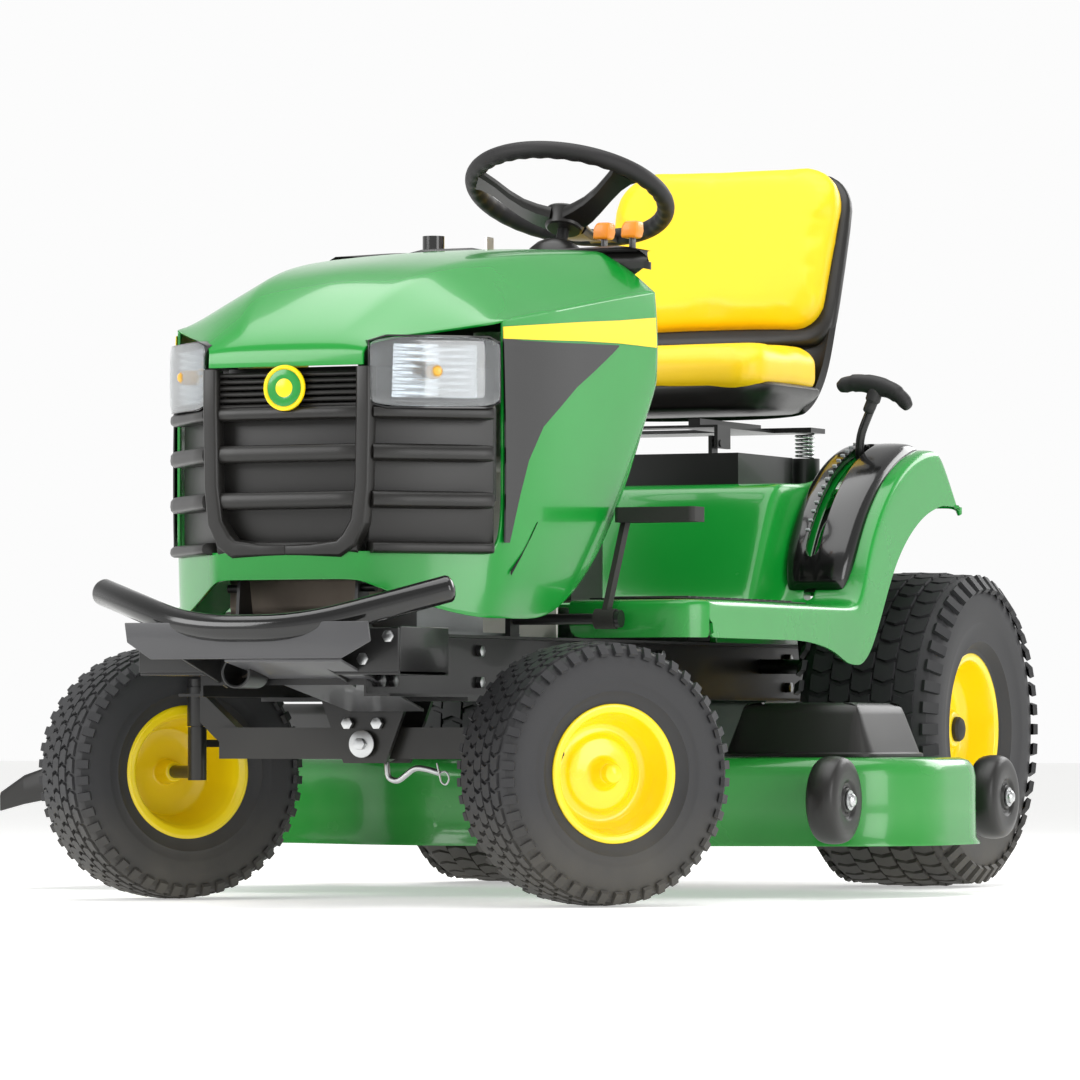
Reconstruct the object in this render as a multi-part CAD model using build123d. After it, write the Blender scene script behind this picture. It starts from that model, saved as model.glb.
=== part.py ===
from build123d import *
import math
import os

os.makedirs("parts", exist_ok=True)

# Riding lawn mower. Machine axes while modelling: the front faces -Y, +X is the operator's left,
# Z = 0 is the ground and Y = 0 lies half way between the axles. Every node is then moved so that the
# origin is the middle of the whole machine's box on the ground. Millimetres throughout.

# ---- driving dimensions ----
WHEELBASE = 1250.0
FRONT_Y = -WHEELBASE / 2
REAR_Y = WHEELBASE / 2

KINGPIN_X = 298.0          # half the distance between the kingpins
STUB_OFFSET = 92.0         # kingpin to the middle of the front tyre
STEER_REST = -37.0         # both front wheels stand turned to the operator's right
STEER_ARM = 100.0
FRONT_TYRE_R = 190.0
FRONT_TYRE_W = 150.0
FRONT_RIM_R = 92.0
REAR_TYRE_R = 254.0
REAR_TYRE_W = 240.0
REAR_RIM_R = 115.0
REAR_TRACK = 713.0
TYRE_WALL = 9.0
RIM_FLANGE = 7.0

RAIL_X = 128.0             # inner face of each rail's web
RAIL_FLANGE = 40.0
RAIL_Z0 = 300.0
RAIL_Z1 = 390.0
RAIL_Y0 = FRONT_Y - 305    # front and rear ends of the rails
RAIL_Y1 = REAR_Y + 225
CROSS_PLATE = 6.0
SHEET = 4.0                # pressed steel thickness
PLASTIC = 4.0              # moulded cover thickness

HOOD_LEN = 645.0           # hood front to rear at the middle
HOOD_HALF_W = 290.0
HOOD_PIVOT_Z = 455.0

FLOOR_Z = 445.0            # foot rest surface
SEAT_DECK_Z = 640.0        # top of the box under the seat
FENDER_X = 440.0           # half width over the fenders
FENDER_R = 345.0           # fender arc about the lift shaft

LIFT_Y = REAR_Y - 110.0    # lift shaft
LIFT_Z = 355.0
LIFT_SHAFT_R = 12.0

DECK_TOP = 211.0
DECK_LIP = 78.0
DECK_LEFT = 640.0
DECK_RIGHT = 620.0
BLADE_LEN = 420.0
BLADE_PITCH = 400.0
BLADE_AHEAD = 155.0        # the middle spindle stands this far ahead of the outer two
BLADE_Y = 60.0
BLADE_Z = 95.0
BLADE_T = 6.0
SPINDLE_R = 12.7
PULLEY_R = 58.0

RUN_FIT = 0.05             # radial clearance of a running fit
MOVE_GAP = 0.5             # least gap between bodies that move past each other
PIN_GAP = 0.3


# ---- helpers ----
def block(x0, x1, y0, y1, z0, z1):
    """A box given by its faces."""
    size = Box(x1 - x0, y1 - y0, z1 - z0)
    return Pos((x0 + x1) / 2, (y0 + y1) / 2, (z0 + z1) / 2) * size


def rod(start, end, radius):
    """A round bar between two points."""
    a = Vector(*start)
    b = Vector(*end)
    return extrude(Plane(origin=a, z_dir=b - a) * Circle(radius), amount=(b - a).length)


def outline(points, radius=0.0):
    """A flat face from corner points, with every corner rounded by the same radius."""
    face = make_face(Polyline(*points, close=True))
    if radius:
        face = fillet(face.vertices(), radius)
    return face


def side_prism(face, x0, x1):
    """A face drawn in (Y, Z), as thick as x0 to x1."""
    return extrude(Plane.YZ.offset(x0) * face, amount=x1 - x0)


def front_prism(face, y0, y1):
    """A face drawn in (X, Z), as thick as y0 to y1."""
    return extrude(Plane.XZ.offset(-y0) * face, amount=y0 - y1)


def plan_prism(face, z0, z1):
    """A face drawn in (X, Y), as thick as z0 to z1."""
    return extrude(Plane.XY.offset(z0) * face, amount=z1 - z0)


def mirrored(shape):
    """The same piece on the other side of the machine."""
    return mirror(shape, about=Plane.YZ)


def both_sides(shape):
    return Compound(children=[shape, mirrored(shape)])


def tube_along(points, radius, bends):
    """A round bar along straight runs joined by bends."""
    path = FilletPolyline(*points, radius=bends)
    start = Plane(origin=path @ 0, z_dir=path % 0)
    return sweep(start * Circle(radius), path=path)


# ---- chassis ----
def frame_rail():
    """One C channel, web inside, flanges outwards, with the lift shaft's hole."""
    rail = block(RAIL_X, RAIL_X + RAIL_FLANGE, RAIL_Y0, RAIL_Y1, RAIL_Z0, RAIL_Z1)
    rail -= block(RAIL_X + SHEET, RAIL_X + RAIL_FLANGE + 1, RAIL_Y0 - 1, RAIL_Y1 + 1,
                  RAIL_Z0 + SHEET, RAIL_Z1 - SHEET)
    hole = rod((RAIL_X - 5, LIFT_Y, LIFT_Z), (RAIL_X + 10, LIFT_Y, LIFT_Z), LIFT_SHAFT_R + PIN_GAP)
    return rail - hole


OUTLET_X = -60.0           # exhaust outlet
OUTLET_Z = 345.0
OUTLET_R = 19.0
AXLE_PIN_Z = 232.0
AXLE_PIN_R = 12.0
AXLE_HALF_Y = 28.0
CROSS_TUBE_Y = -90.0
CROSS_TUBE_R = 20.0


def frame_crossmembers():
    """Front and rear plates, a middle tube, and the ears and pin that carry the front axle."""
    front = block(-RAIL_X, RAIL_X, RAIL_Y0, RAIL_Y0 + CROSS_PLATE, RAIL_Z0 + 16, RAIL_Z1)
    front -= rod((OUTLET_X, RAIL_Y0 - 1, OUTLET_Z), (OUTLET_X, RAIL_Y0 + CROSS_PLATE + 1, OUTLET_Z), OUTLET_R + 5)
    rear = block(-RAIL_X, RAIL_X, RAIL_Y1 - CROSS_PLATE, RAIL_Y1, RAIL_Z0, RAIL_Z1)
    middle_z = (RAIL_Z0 + RAIL_Z1) / 2
    middle = rod((-RAIL_X, CROSS_TUBE_Y, middle_z), (RAIL_X, CROSS_TUBE_Y, middle_z), CROSS_TUBE_R)
    outer_x = RAIL_X + RAIL_FLANGE
    ear_gap = AXLE_HALF_Y + 8
    saddle = block(-outer_x, outer_x, FRONT_Y - ear_gap - 10, FRONT_Y + ear_gap + 10, RAIL_Z0 - 6, RAIL_Z0)
    ear_face = outline([(-70, RAIL_Z0 - 5), (70, RAIL_Z0 - 5), (34, AXLE_PIN_Z - 28), (-34, AXLE_PIN_Z - 28)])
    for y in (FRONT_Y - ear_gap - 8, FRONT_Y + ear_gap):
        saddle += front_prism(ear_face, y, y + 8)
    pin = rod((0, FRONT_Y - ear_gap - 16, AXLE_PIN_Z), (0, FRONT_Y + ear_gap + 16, AXLE_PIN_Z), AXLE_PIN_R)
    return Compound(children=[front, rear, middle, saddle + pin] + pedal_shafts())


HITCH_BORE_R = 9.6
HITCH_BOLT_R = 5.5
HITCH_BOLTS_X = 220.0
HITCH_BOLTS_Z = 80.0
HITCH_PLATE_Z = 320.0
HITCH_TONGUE_Z = 262.0
TONGUE_END = RAIL_Y1 + 55
DRAW_PIN_Y = RAIL_Y1 + 32


def hitch_plate():
    """Rear plate with four bolt holes and a tongue with the draw pin's bore."""
    y = RAIL_Y1
    plate = block(-165, 165, y, y + CROSS_PLATE, HITCH_PLATE_Z - 80, HITCH_PLATE_Z + 80)
    for x in (-HITCH_BOLTS_X / 2, HITCH_BOLTS_X / 2):
        for z in (HITCH_PLATE_Z - HITCH_BOLTS_Z / 2, HITCH_PLATE_Z + HITCH_BOLTS_Z / 2):
            plate -= rod((x, y - 1, z), (x, y + CROSS_PLATE + 1, z), HITCH_BOLT_R)
    tongue = outline([(-45, y + 5), (45, y + 5), (28, TONGUE_END), (-28, TONGUE_END)])
    tongue = plan_prism(tongue, HITCH_TONGUE_Z - 4, HITCH_TONGUE_Z + 4)
    bore = rod((0, DRAW_PIN_Y, HITCH_TONGUE_Z - 10), (0, DRAW_PIN_Y, HITCH_TONGUE_Z + 10), HITCH_BORE_R)
    return plate + tongue - bore


BUMPER_R = 20.0
BUMPER_HALF_W = 274.0
BUMPER_Y = FRONT_Y - 420     # middle of the straight run
BUMPER_Z = 395.0
BUMPER_BEND_X = 89.0
BUMPER_END_Y = BUMPER_Y + 86
BUMPER_END_Z = 450.0


def bumper_bar():
    """A swept-back tube with rounded ends."""
    points = [(-BUMPER_HALF_W, BUMPER_END_Y, BUMPER_END_Z), (-BUMPER_BEND_X, BUMPER_Y, BUMPER_Z),
              (BUMPER_BEND_X, BUMPER_Y, BUMPER_Z), (BUMPER_HALF_W, BUMPER_END_Y, BUMPER_END_Z)]
    bar = tube_along(points, BUMPER_R, 90)
    for x in (-BUMPER_HALF_W, BUMPER_HALF_W):
        bar += Pos(x, BUMPER_END_Y, BUMPER_END_Z) * Sphere(BUMPER_R)
    return bar


def bumper_bracket():
    """A folded apron under the bar and two side plates bolted to the rails."""
    y = BUMPER_Y
    back = FRONT_Y - 75
    apron = front_prism(outline([(-190, 376), (190, 376), (110, 322), (-110, 322)]), y - 4, y + 1)
    under = outline([(y - 4, 318), (y - 4, 324), (back, 286), (back, 280)])
    under = side_prism(under, -110, 110)
    cut = block(-110, 110, FRONT_Y - 100, FRONT_Y, 200, 299)
    web = outline([(y, 322), (y, 372), (RAIL_Y0 - 1, 388), (RAIL_Y0 - 1, 305)])
    plates = apron + under - cut
    for x in (-104, 100):
        plates += side_prism(web, x, x + 4)
    wing = outline([(y + 70, 330), (y + 74, 398), (FRONT_Y - 190, 398), (FRONT_Y - 190, 330)])
    arm = block(RAIL_X + RAIL_FLANGE, 206, FRONT_Y - 290, FRONT_Y - 200, 340, 346)
    left = side_prism(wing, 200, 206) + arm
    tie = front_prism(outline([(95, 340), (95, 372), (206, 392), (206, 340)]), y + 66, y + 74)
    return plates + left + mirrored(left) + tie + mirrored(tie)


HOOD_PIVOT_Y = FRONT_Y - 245
HOOD_PIN_R = 6.0


def hood_hinge_bracket():
    """Two upright ears on the rails with the pins the hood tips on."""
    y = HOOD_PIVOT_Y
    ear = outline([(y - 22, RAIL_Z1 + 4), (y + 30, RAIL_Z1 + 4), (y + 14, HOOD_PIVOT_Z + 14),
                   (y - 14, HOOD_PIVOT_Z + 14)])
    foot = block(90, RAIL_X + RAIL_FLANGE, y - 25, y + 33, RAIL_Z1, RAIL_Z1 + 5)
    one = side_prism(ear, 92, 97) + foot
    one += rod((92, y, HOOD_PIVOT_Z), (118, y, HOOD_PIVOT_Z), HOOD_PIN_R)
    return both_sides(one)


# ---- front axle and steering ----
KINGPIN_R = 9.5
BOSS_R = 15.0
BOSS_Z0 = 258.0
BOSS_Z1 = 316.0
STUB_R = 9.5
ARM_Z = 237.0
BALL_R = 11.0


def front_axle():
    """A beam that rocks on the axle pin, with arms rising to a kingpin boss at each end."""
    half_y = AXLE_HALF_Y
    beam = block(-250, 250, FRONT_Y - half_y + 6, FRONT_Y + half_y - 6, 210, 256)
    beam += rod((0, FRONT_Y - half_y, AXLE_PIN_Z), (0, FRONT_Y + half_y, AXLE_PIN_Z), 27)
    arm = outline([(225, 212), (KINGPIN_X - 36, 240), (KINGPIN_X - 8, BOSS_Z0 + 8),
                   (KINGPIN_X - 8, BOSS_Z1 - 4), (225, 255)])
    arm = front_prism(arm, FRONT_Y - 11, FRONT_Y + 11)
    boss = rod((KINGPIN_X, FRONT_Y, BOSS_Z0), (KINGPIN_X, FRONT_Y, BOSS_Z1), BOSS_R)
    bore = rod((KINGPIN_X, FRONT_Y, BOSS_Z0 - 50), (KINGPIN_X, FRONT_Y, BOSS_Z1 + 5), KINGPIN_R + RUN_FIT)
    side = arm + boss - bore
    pin_bore = rod((0, FRONT_Y - 60, AXLE_PIN_Z), (0, FRONT_Y + 60, AXLE_PIN_Z), AXLE_PIN_R + RUN_FIT)
    return beam + side + mirrored(side) - pin_bore


def wheel_place(side):
    """Where a front wheel stands at rest: its middle, turned with the knuckle."""
    turn = math.radians(STEER_REST)
    x = side * (KINGPIN_X + STUB_OFFSET * math.cos(turn))
    y = FRONT_Y + side * STUB_OFFSET * math.sin(turn)
    return Pos(x, y, FRONT_TYRE_R) * Rot(0, 0, STEER_REST)


def ball_place(side):
    """Where a steering arm's ball stands at rest."""
    turn = math.radians(STEER_REST)
    x = side * KINGPIN_X - STEER_ARM * math.sin(turn)
    y = FRONT_Y + STEER_ARM * math.cos(turn)
    return x, y, ARM_Z


def steering_knuckle(side):
    """Kingpin, stub axle and steering arm in one forging, built straight ahead and then turned."""
    top = BOSS_Z1 + 12
    pin = rod((0, 0, 178), (0, 0, top), KINGPIN_R)
    collar = rod((0, 0, 178), (0, 0, BOSS_Z0 - 1), BOSS_R - 1)
    cap = rod((0, 0, BOSS_Z1 + 1), (0, 0, top), BOSS_R - 2)
    stub = rod((0, 0, FRONT_TYRE_R), (side * (STUB_OFFSET + 34), 0, FRONT_TYRE_R), STUB_R)
    arm = block(-7, 7, 0, STEER_ARM - 6, ARM_Z - 10, ARM_Z + 1)
    ball = rod((0, STEER_ARM, ARM_Z - 10), (0, STEER_ARM, ARM_Z + 1), BALL_R)
    knuckle = pin + collar + cap + stub + arm + ball
    return Pos(side * KINGPIN_X, FRONT_Y, 0) * Rot(0, 0, STEER_REST) * knuckle


def tie_rod():
    """A straight rod under the frame with a flattened end above each steering arm."""
    left = ball_place(1)
    right = ball_place(-1)
    z = ARM_Z + 1 + MOVE_GAP + 8
    bar = rod((left[0], left[1], z), (right[0], right[1], z), 7)
    for place in (left, right):
        bar += rod((place[0], place[1], z - 8), (place[0], place[1], z + 8), BALL_R)
    return bar


def tyre_section(tyre_r, tyre_w, rim_r, inset):
    """Half of a tyre's outline in (axle, radius), moved in by the casing's thickness."""
    half = tyre_w / 2 - inset
    crown = tyre_r - inset
    middle = (tyre_r + rim_r) / 2
    bead = tyre_w * 0.38 - inset
    foot = rim_r if inset == 0 else rim_r - 5
    seat = rim_r + RIM_FLANGE + 1
    points = [(-bead, foot), (-bead, seat), (-half, middle), (-half * 0.86, crown - 0.05 * tyre_r)]
    points += [(-half * 0.45, crown), (half * 0.45, crown), (half * 0.86, crown - 0.05 * tyre_r)]
    points += [(half, middle), (bead, seat), (bead, foot)]
    return outline(points)


def tyre(tyre_r, tyre_w, rim_r):
    """An open casing about the X axis, with a wall of even thickness."""
    face = tyre_section(tyre_r, tyre_w, rim_r, 0) - tyre_section(tyre_r, tyre_w, rim_r, TYRE_WALL)
    return revolve(Plane.XY * face, axis=Axis.X)


def rim(rim_r, width, disc_x, hub_r, hub_x0, hub_x1, bore_r):
    """A pressed rim about the X axis: barrel, flanges, dished disc and a bored hub. Outside is +X."""
    half = width / 2
    lip = rim_r + RIM_FLANGE
    barrel = outline([(-half, rim_r), (-half, lip), (-half - 4, lip), (-half - 4, rim_r - 4),
                      (half + 4, rim_r - 4), (half + 4, lip), (half, lip), (half, rim_r)])
    disc = outline([(disc_x, hub_r - 4), (disc_x + 5, hub_r - 4), (disc_x + 5, rim_r * 0.55),
                    (disc_x - 9, rim_r * 0.8), (disc_x - 9, rim_r - 2), (disc_x - 14, rim_r - 2),
                    (disc_x - 14, rim_r * 0.78), (disc_x, rim_r * 0.53)])
    hub = outline([(hub_x0, bore_r), (hub_x1, bore_r), (hub_x1, hub_r), (hub_x0, hub_r)])
    return revolve(Plane.XY * (barrel + disc + hub), axis=Axis.X)


FRONT_RIM_W = FRONT_TYRE_W * 0.76
REAR_RIM_W = REAR_TYRE_W * 0.76
FRONT_HUB_R = 19.0
REAR_HUB_R = 30.0
REAR_SHAFT_R = 12.7
REAR_HUB_END = 58.0        # the hub's outer face, from the middle of the wheel


def front_rim(side):
    hub = rim(FRONT_RIM_R, FRONT_RIM_W, 22, FRONT_HUB_R, -50, 42, STUB_R + RUN_FIT)
    return wheel_place(side) * (hub if side > 0 else Rot(0, 0, 180) * hub)


def front_tyre(side):
    return wheel_place(side) * tyre(FRONT_TYRE_R, FRONT_TYRE_W, FRONT_RIM_R)


def rear_place(side):
    return Pos(side * REAR_TRACK / 2, REAR_Y, REAR_TYRE_R)


def rear_rim(side):
    hub = rim(REAR_RIM_R, REAR_RIM_W, 38, REAR_HUB_R, -30, REAR_HUB_END, REAR_SHAFT_R)
    return rear_place(side) * (hub if side > 0 else Rot(0, 0, 180) * hub)


def rear_tyre(side):
    return rear_place(side) * tyre(REAR_TYRE_R, REAR_TYRE_W, REAR_RIM_R)


AXLE_INNER_X = 70.0


def rear_axle(side):
    """A drive shaft from inside the transaxle to the end of the wheel's hub, with a retaining washer."""
    z = REAR_TYRE_R
    outer = REAR_TRACK / 2 + REAR_HUB_END
    shaft = rod((side * AXLE_INNER_X, REAR_Y, z), (side * (outer + 6), REAR_Y, z), REAR_SHAFT_R)
    washer = rod((side * outer, REAR_Y, z), (side * (outer + 4), REAR_Y, z), REAR_SHAFT_R + 9)
    return shaft + washer


def transaxle():
    """Gear case hung between the rails, open for the two drive shafts, with an input pulley below."""
    case = block(-122, 122, REAR_Y - 70, REAR_Y + 80, REAR_TYRE_R - 62, RAIL_Z0 + 6)
    case = fillet(case.edges().filter_by(Axis.X), 14)
    ears = block(-RAIL_X, RAIL_X, REAR_Y - 40, REAR_Y + 40, RAIL_Z0 + 4, RAIL_Z0 + 22)
    input_shaft = rod((0, REAR_Y - 30, REAR_TYRE_R - 90), (0, REAR_Y - 30, REAR_TYRE_R - 60), 12)
    pulley = rod((0, REAR_Y - 30, REAR_TYRE_R - 84), (0, REAR_Y - 30, REAR_TYRE_R - 68), 62)
    body = case + ears + input_shaft + pulley
    for side in (-1, 1):
        bore = rod((side * (AXLE_INNER_X - 2), REAR_Y, REAR_TYRE_R), (side * 130, REAR_Y, REAR_TYRE_R),
                   REAR_SHAFT_R + RUN_FIT)
        body -= bore
    return body


# ---- engine bay ----
ENGINE_Z0 = RAIL_Z1 + 5
ENGINE_Y = FRONT_Y + 40
ENGINE_TOP = 590.0
SHROUD_R = 148.0
SHROUD_H = 150.0
PLATE_X = RAIL_X + 14       # half width of the engine's base plate


def engine_block():
    """Base plate across the rails, crankcase and two cylinder heads."""
    plate = block(-PLATE_X, PLATE_X, ENGINE_Y - 130, ENGINE_Y + 150, RAIL_Z1, ENGINE_Z0)
    case = block(-95, 95, ENGINE_Y - 105, ENGINE_Y + 120, ENGINE_Z0, ENGINE_TOP)
    for sx in (-1, 1):
        head = Pos(sx * 125, ENGINE_Y - 75, 520) * Rot(0, 0, sx * 35) * Box(110, 90, 100)
        case += head
    return plate + case


def engine_shroud():
    """Round blower housing with a flat screen on top."""
    drum = Pos(0, ENGINE_Y + 20, ENGINE_TOP) * extrude(Circle(SHROUD_R), amount=SHROUD_H)
    drum = fillet(drum.edges().filter_by(GeomType.CIRCLE).sort_by(Axis.Z)[-1], 18)
    screen = Pos(0, ENGINE_Y + 20, ENGINE_TOP + SHROUD_H) * extrude(Circle(85), amount=12)
    return drum + screen


def muffler():
    """A flat silencer ahead of the engine with its outlet pointing forwards under the hood."""
    can = block(-150, 60, ENGINE_Y - 219, ENGINE_Y - 146, ENGINE_Z0 + 12, ENGINE_Z0 + 95)
    can = fillet(can.edges().filter_by(Axis.X), 24)
    turn_y = ENGINE_Y - 182
    end_y = FRONT_Y - 320
    neck = rod((OUTLET_X, turn_y, ENGINE_Z0 + 40), (OUTLET_X, turn_y, OUTLET_Z), OUTLET_R - 1)
    tip = rod((OUTLET_X, turn_y + 20, OUTLET_Z), (OUTLET_X, end_y, OUTLET_Z), OUTLET_R)
    bore = rod((OUTLET_X, turn_y - 25, OUTLET_Z), (OUTLET_X, end_y - 1, OUTLET_Z), OUTLET_R - 3)
    return can + neck + tip - bore


def fuel_tank():
    """A blow-moulded tank across the rear of the engine bay with a screw cap."""
    tank = block(-140, 140, FRONT_Y + 215, FRONT_Y + 335, 640, 820)
    tank = fillet(tank.edges(), 22)
    legs = block(-150, 150, FRONT_Y + 300, FRONT_Y + 306, RAIL_Z1, 660)
    cap = rod((60, FRONT_Y + 275, 818), (60, FRONT_Y + 275, 848), 32)
    return Compound(children=[tank + legs, cap])


def battery():
    """Battery on a tray between the rails, under the seat."""
    case = block(-95, 95, REAR_Y - 330, REAR_Y - 140, 420, 590)
    tray = block(-RAIL_X - 10, RAIL_X + 10, REAR_Y - 336, REAR_Y - 134, RAIL_Z1, RAIL_Z1 + 4)
    wall = block(-100, 100, REAR_Y - 336, REAR_Y - 134, RAIL_Z1, 420)
    posts = [block(x - 8, x + 8, REAR_Y - 200, REAR_Y - 184, 590, 606) for x in (-70, 70)]
    return Compound(children=[case + posts[0] + posts[1] + wall + tray])


# ---- hood ----
HOOD_FRONT = FRONT_Y - 295
HOOD_REAR = HOOD_FRONT + HOOD_LEN
HOOD_LIP_Z = 412.0
GRILLE_Z0 = 504.0
GRILLE_Z1 = 770.0
LAMP_Z0 = 708.0
LAMP_Z1 = 812.0
POST_X = 123.0             # where the flat front turns back to the lamp corners
CORNER_X = HOOD_HALF_W - 24   # where the corner meets the hood's side
CORNER_Y = FRONT_Y - 144


def hood_sections(wall):
    """Cross sections from front to rear: middle, crease, shoulder and side, moved in by the wall."""
    k = HOOD_HALF_W / 290.0
    rows = [  # share of the length, middle z, crease x z, slope x z, side x, shoulder z
        (0.0, 810, 80, 809, 105, 808, POST_X / k, 806),
        (0.124, 870, 105, 862, 160, 838, 196, 814),
        (0.279, 928, 125, 914, 205, 868, 267, 832),
        (0.496, 950, 145, 939, 220, 888, 275, 857),
        (0.729, 970, 168, 958, 232, 920, 283, 882),
        (1.0, 985, 198, 970, 240, 946, 290, 907),
    ]
    faces = []
    for share, z_mid, x1, z1, x2, z2, x3, z3 in rows:
        y = HOOD_FRONT + share * HOOD_LEN + (wall if share == 0 else 0)
        half = [(0, z_mid), (x1 * k, z1), (x2 * k, z2), (x3 * k, z3)]
        half = [(max(x - wall, 0) if x else 0, z - wall) for x, z in half]
        half.append((half[-1][0], 380))
        points = half + [(-x, z) for x, z in reversed(half[1:])]
        faces.append(Plane.XZ.offset(-y) * make_face(Polyline(*points, close=True)))
    return faces


def hood_body(wall):
    """The solid that the hood's outside, or its inside, bounds."""
    return loft(hood_sections(wall), ruled=True)


def hood_side_cut():
    """Everything below and behind the hood's edge, seen from the side."""
    y = HOOD_REAR
    edge = [(HOOD_FRONT - 20, GRILLE_Z0 - 44), (HOOD_FRONT, GRILLE_Z0 - 44), (FRONT_Y - 237, HOOD_LIP_Z),
            (FRONT_Y + 5, HOOD_LIP_Z), (y - 162, 523), (y - 50, 669), (y, 746), (y, 1100),
            (y + 90, 1100), (y + 90, 300), (HOOD_FRONT - 20, 300)]
    return side_prism(outline(edge), -400, 400)


def hood_shell():
    """Two-piece look in one moulding: hollow, open below and behind, with the grille's opening."""
    shell = hood_body(0) - hood_body(PLASTIC) - hood_side_cut()
    shell -= block(-HOOD_HALF_W * 2, HOOD_HALF_W * 2, HOOD_REAR - 0.5, HOOD_REAR + 50, 300, 1100)
    front = HOOD_FRONT - 10
    shell -= block(-POST_X, POST_X, front, HOOD_FRONT + 40, GRILLE_Z0, GRILLE_Z1)
    for x0, x1 in ((-CORNER_X + 6, -POST_X), (POST_X, CORNER_X - 6)):
        shell -= block(x0, x1, front, CORNER_Y + 12, GRILLE_Z0, LAMP_Z1)
    panel = hood_side_face(0)
    shell -= side_prism(panel, CORNER_X - 12, HOOD_HALF_W + 10)
    shell -= side_prism(panel, -HOOD_HALF_W - 10, -CORNER_X + 12)
    for x0 in (-106 - 4, 106):
        ear = outline([(HOOD_FRONT + 2, HOOD_PIVOT_Z + 12), (HOOD_FRONT + 2, HOOD_PIVOT_Z + 28),
                       (HOOD_PIVOT_Y + 14, HOOD_PIVOT_Z + 14), (HOOD_PIVOT_Y + 10, HOOD_PIVOT_Z - 14),
                       (HOOD_PIVOT_Y - 10, HOOD_PIVOT_Z - 14)])
        ear = side_prism(ear, x0, x0 + 4)
        hole_r = HOOD_PIN_R + RUN_FIT
        hole = rod((x0 - 1, HOOD_PIVOT_Y, HOOD_PIVOT_Z), (x0 + 5, HOOD_PIVOT_Y, HOOD_PIVOT_Z), hole_r)
        shell += ear - hole
    return shell


def hood_side_face(gap):
    """Outline of the dark panel under the stripe, in (Y, Z)."""
    y = FRONT_Y
    points = [(CORNER_Y + 12 + gap, LAMP_Z1 - gap), (y + 228 - 2 * gap, 838 - gap), (y + 120, 768),
              (y - 28, 694), (y - 89, 626), (y - 128 - gap, 560), (CORNER_Y + 12 + gap, 540)]
    return outline(points)


def hood_grille():
    """Frame with posts and cross bars behind the hood's opening, wrapped round both corners."""
    depth = 26
    y = HOOD_FRONT + 3
    mid = block(-POST_X, POST_X, y, y + depth, GRILLE_Z0, GRILLE_Z1)
    for z0, z1 in ((522, 568), (592, 636), (658, 700)):
        mid -= block(-POST_X + 16, POST_X - 16, y - 1, y + depth + 1, z0, z1)
    run_x = CORNER_X - POST_X - 8
    run_y = CORNER_Y - HOOD_FRONT
    length = math.hypot(run_x, run_y)
    wing = block(0, length, 3, depth, GRILLE_Z0 + 1, LAMP_Z0 - 1)
    for z0, z1 in ((522, 568), (592, 636), (658, 696)):
        wing -= block(14, length - 14, -1, depth + 1, z0, z1)
    wing = Pos(POST_X, HOOD_FRONT, 0) * Rot(0, 0, math.degrees(math.atan2(run_y, run_x))) * wing
    frame = mid + wing + mirrored(wing)
    sides = side_prism(hood_side_face(0.3), CORNER_X - 8, CORNER_X)
    return Compound(children=[frame, sides, mirrored(sides)])


def lamp_block(inset, depth0, depth1):
    """A slab behind one lamp corner, between two depths behind the face."""
    run_x = CORNER_X - POST_X - 8
    run_y = CORNER_Y - HOOD_FRONT
    length = math.hypot(run_x, run_y)
    slab = block(inset + 6, length - inset, depth0, depth1, LAMP_Z0 + inset, LAMP_Z1 - inset - 1)
    slab = Pos(POST_X, HOOD_FRONT, 0) * Rot(0, 0, math.degrees(math.atan2(run_y, run_x))) * slab
    post = block(-POST_X, POST_X + PIN_GAP, HOOD_FRONT - 50, HOOD_FRONT + 200, LAMP_Z0 - 50, LAMP_Z1 + 50)
    return slab - post


def headlight_lenses():
    return both_sides(lamp_block(2, 2, 8))


def headlight_housings():
    shell = lamp_block(2, 8, 60) - lamp_block(6, 7, 54)
    bulb = lamp_block(36, 30, 54)
    return both_sides(shell + bulb)


# ---- dash and steering ----
DASH_Y = HOOD_REAR + 6      # front face of the dash, just behind the hood
DASH_TOP = 992.0
DASH_EDGE = 960.0           # lower edge of the dash's rim
PEDESTAL_W = 150.0          # half width of the pedestal below the dash
COLUMN_TILT = 22.5
COLUMN_DEPTH = 50.0         # how far the shaft runs down inside the dash
COLUMN_FOOT = (0, FRONT_Y + 632, 975)
WHEEL_R = 152.0
WHEEL_TUBE = 14.0
WHEEL_LIFT = 124.0          # along the column, dash top to rim plane
SHAFT_R = 9.5
KEY_AT = (-90, FRONT_Y + 575)
KNOB_AT = (-150, FRONT_Y + 500)
THROTTLE_AT = (95, FRONT_Y + 600)
PARK_AT = (200, FRONT_Y + 470)


def column(x, y, z):
    """A point on the steering column's frame: x across, y forwards-down in the rim's plane, z along it."""
    return Pos(*COLUMN_FOOT) * Rot(-COLUMN_TILT, 0, 0) * Pos(x, y, z)


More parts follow.
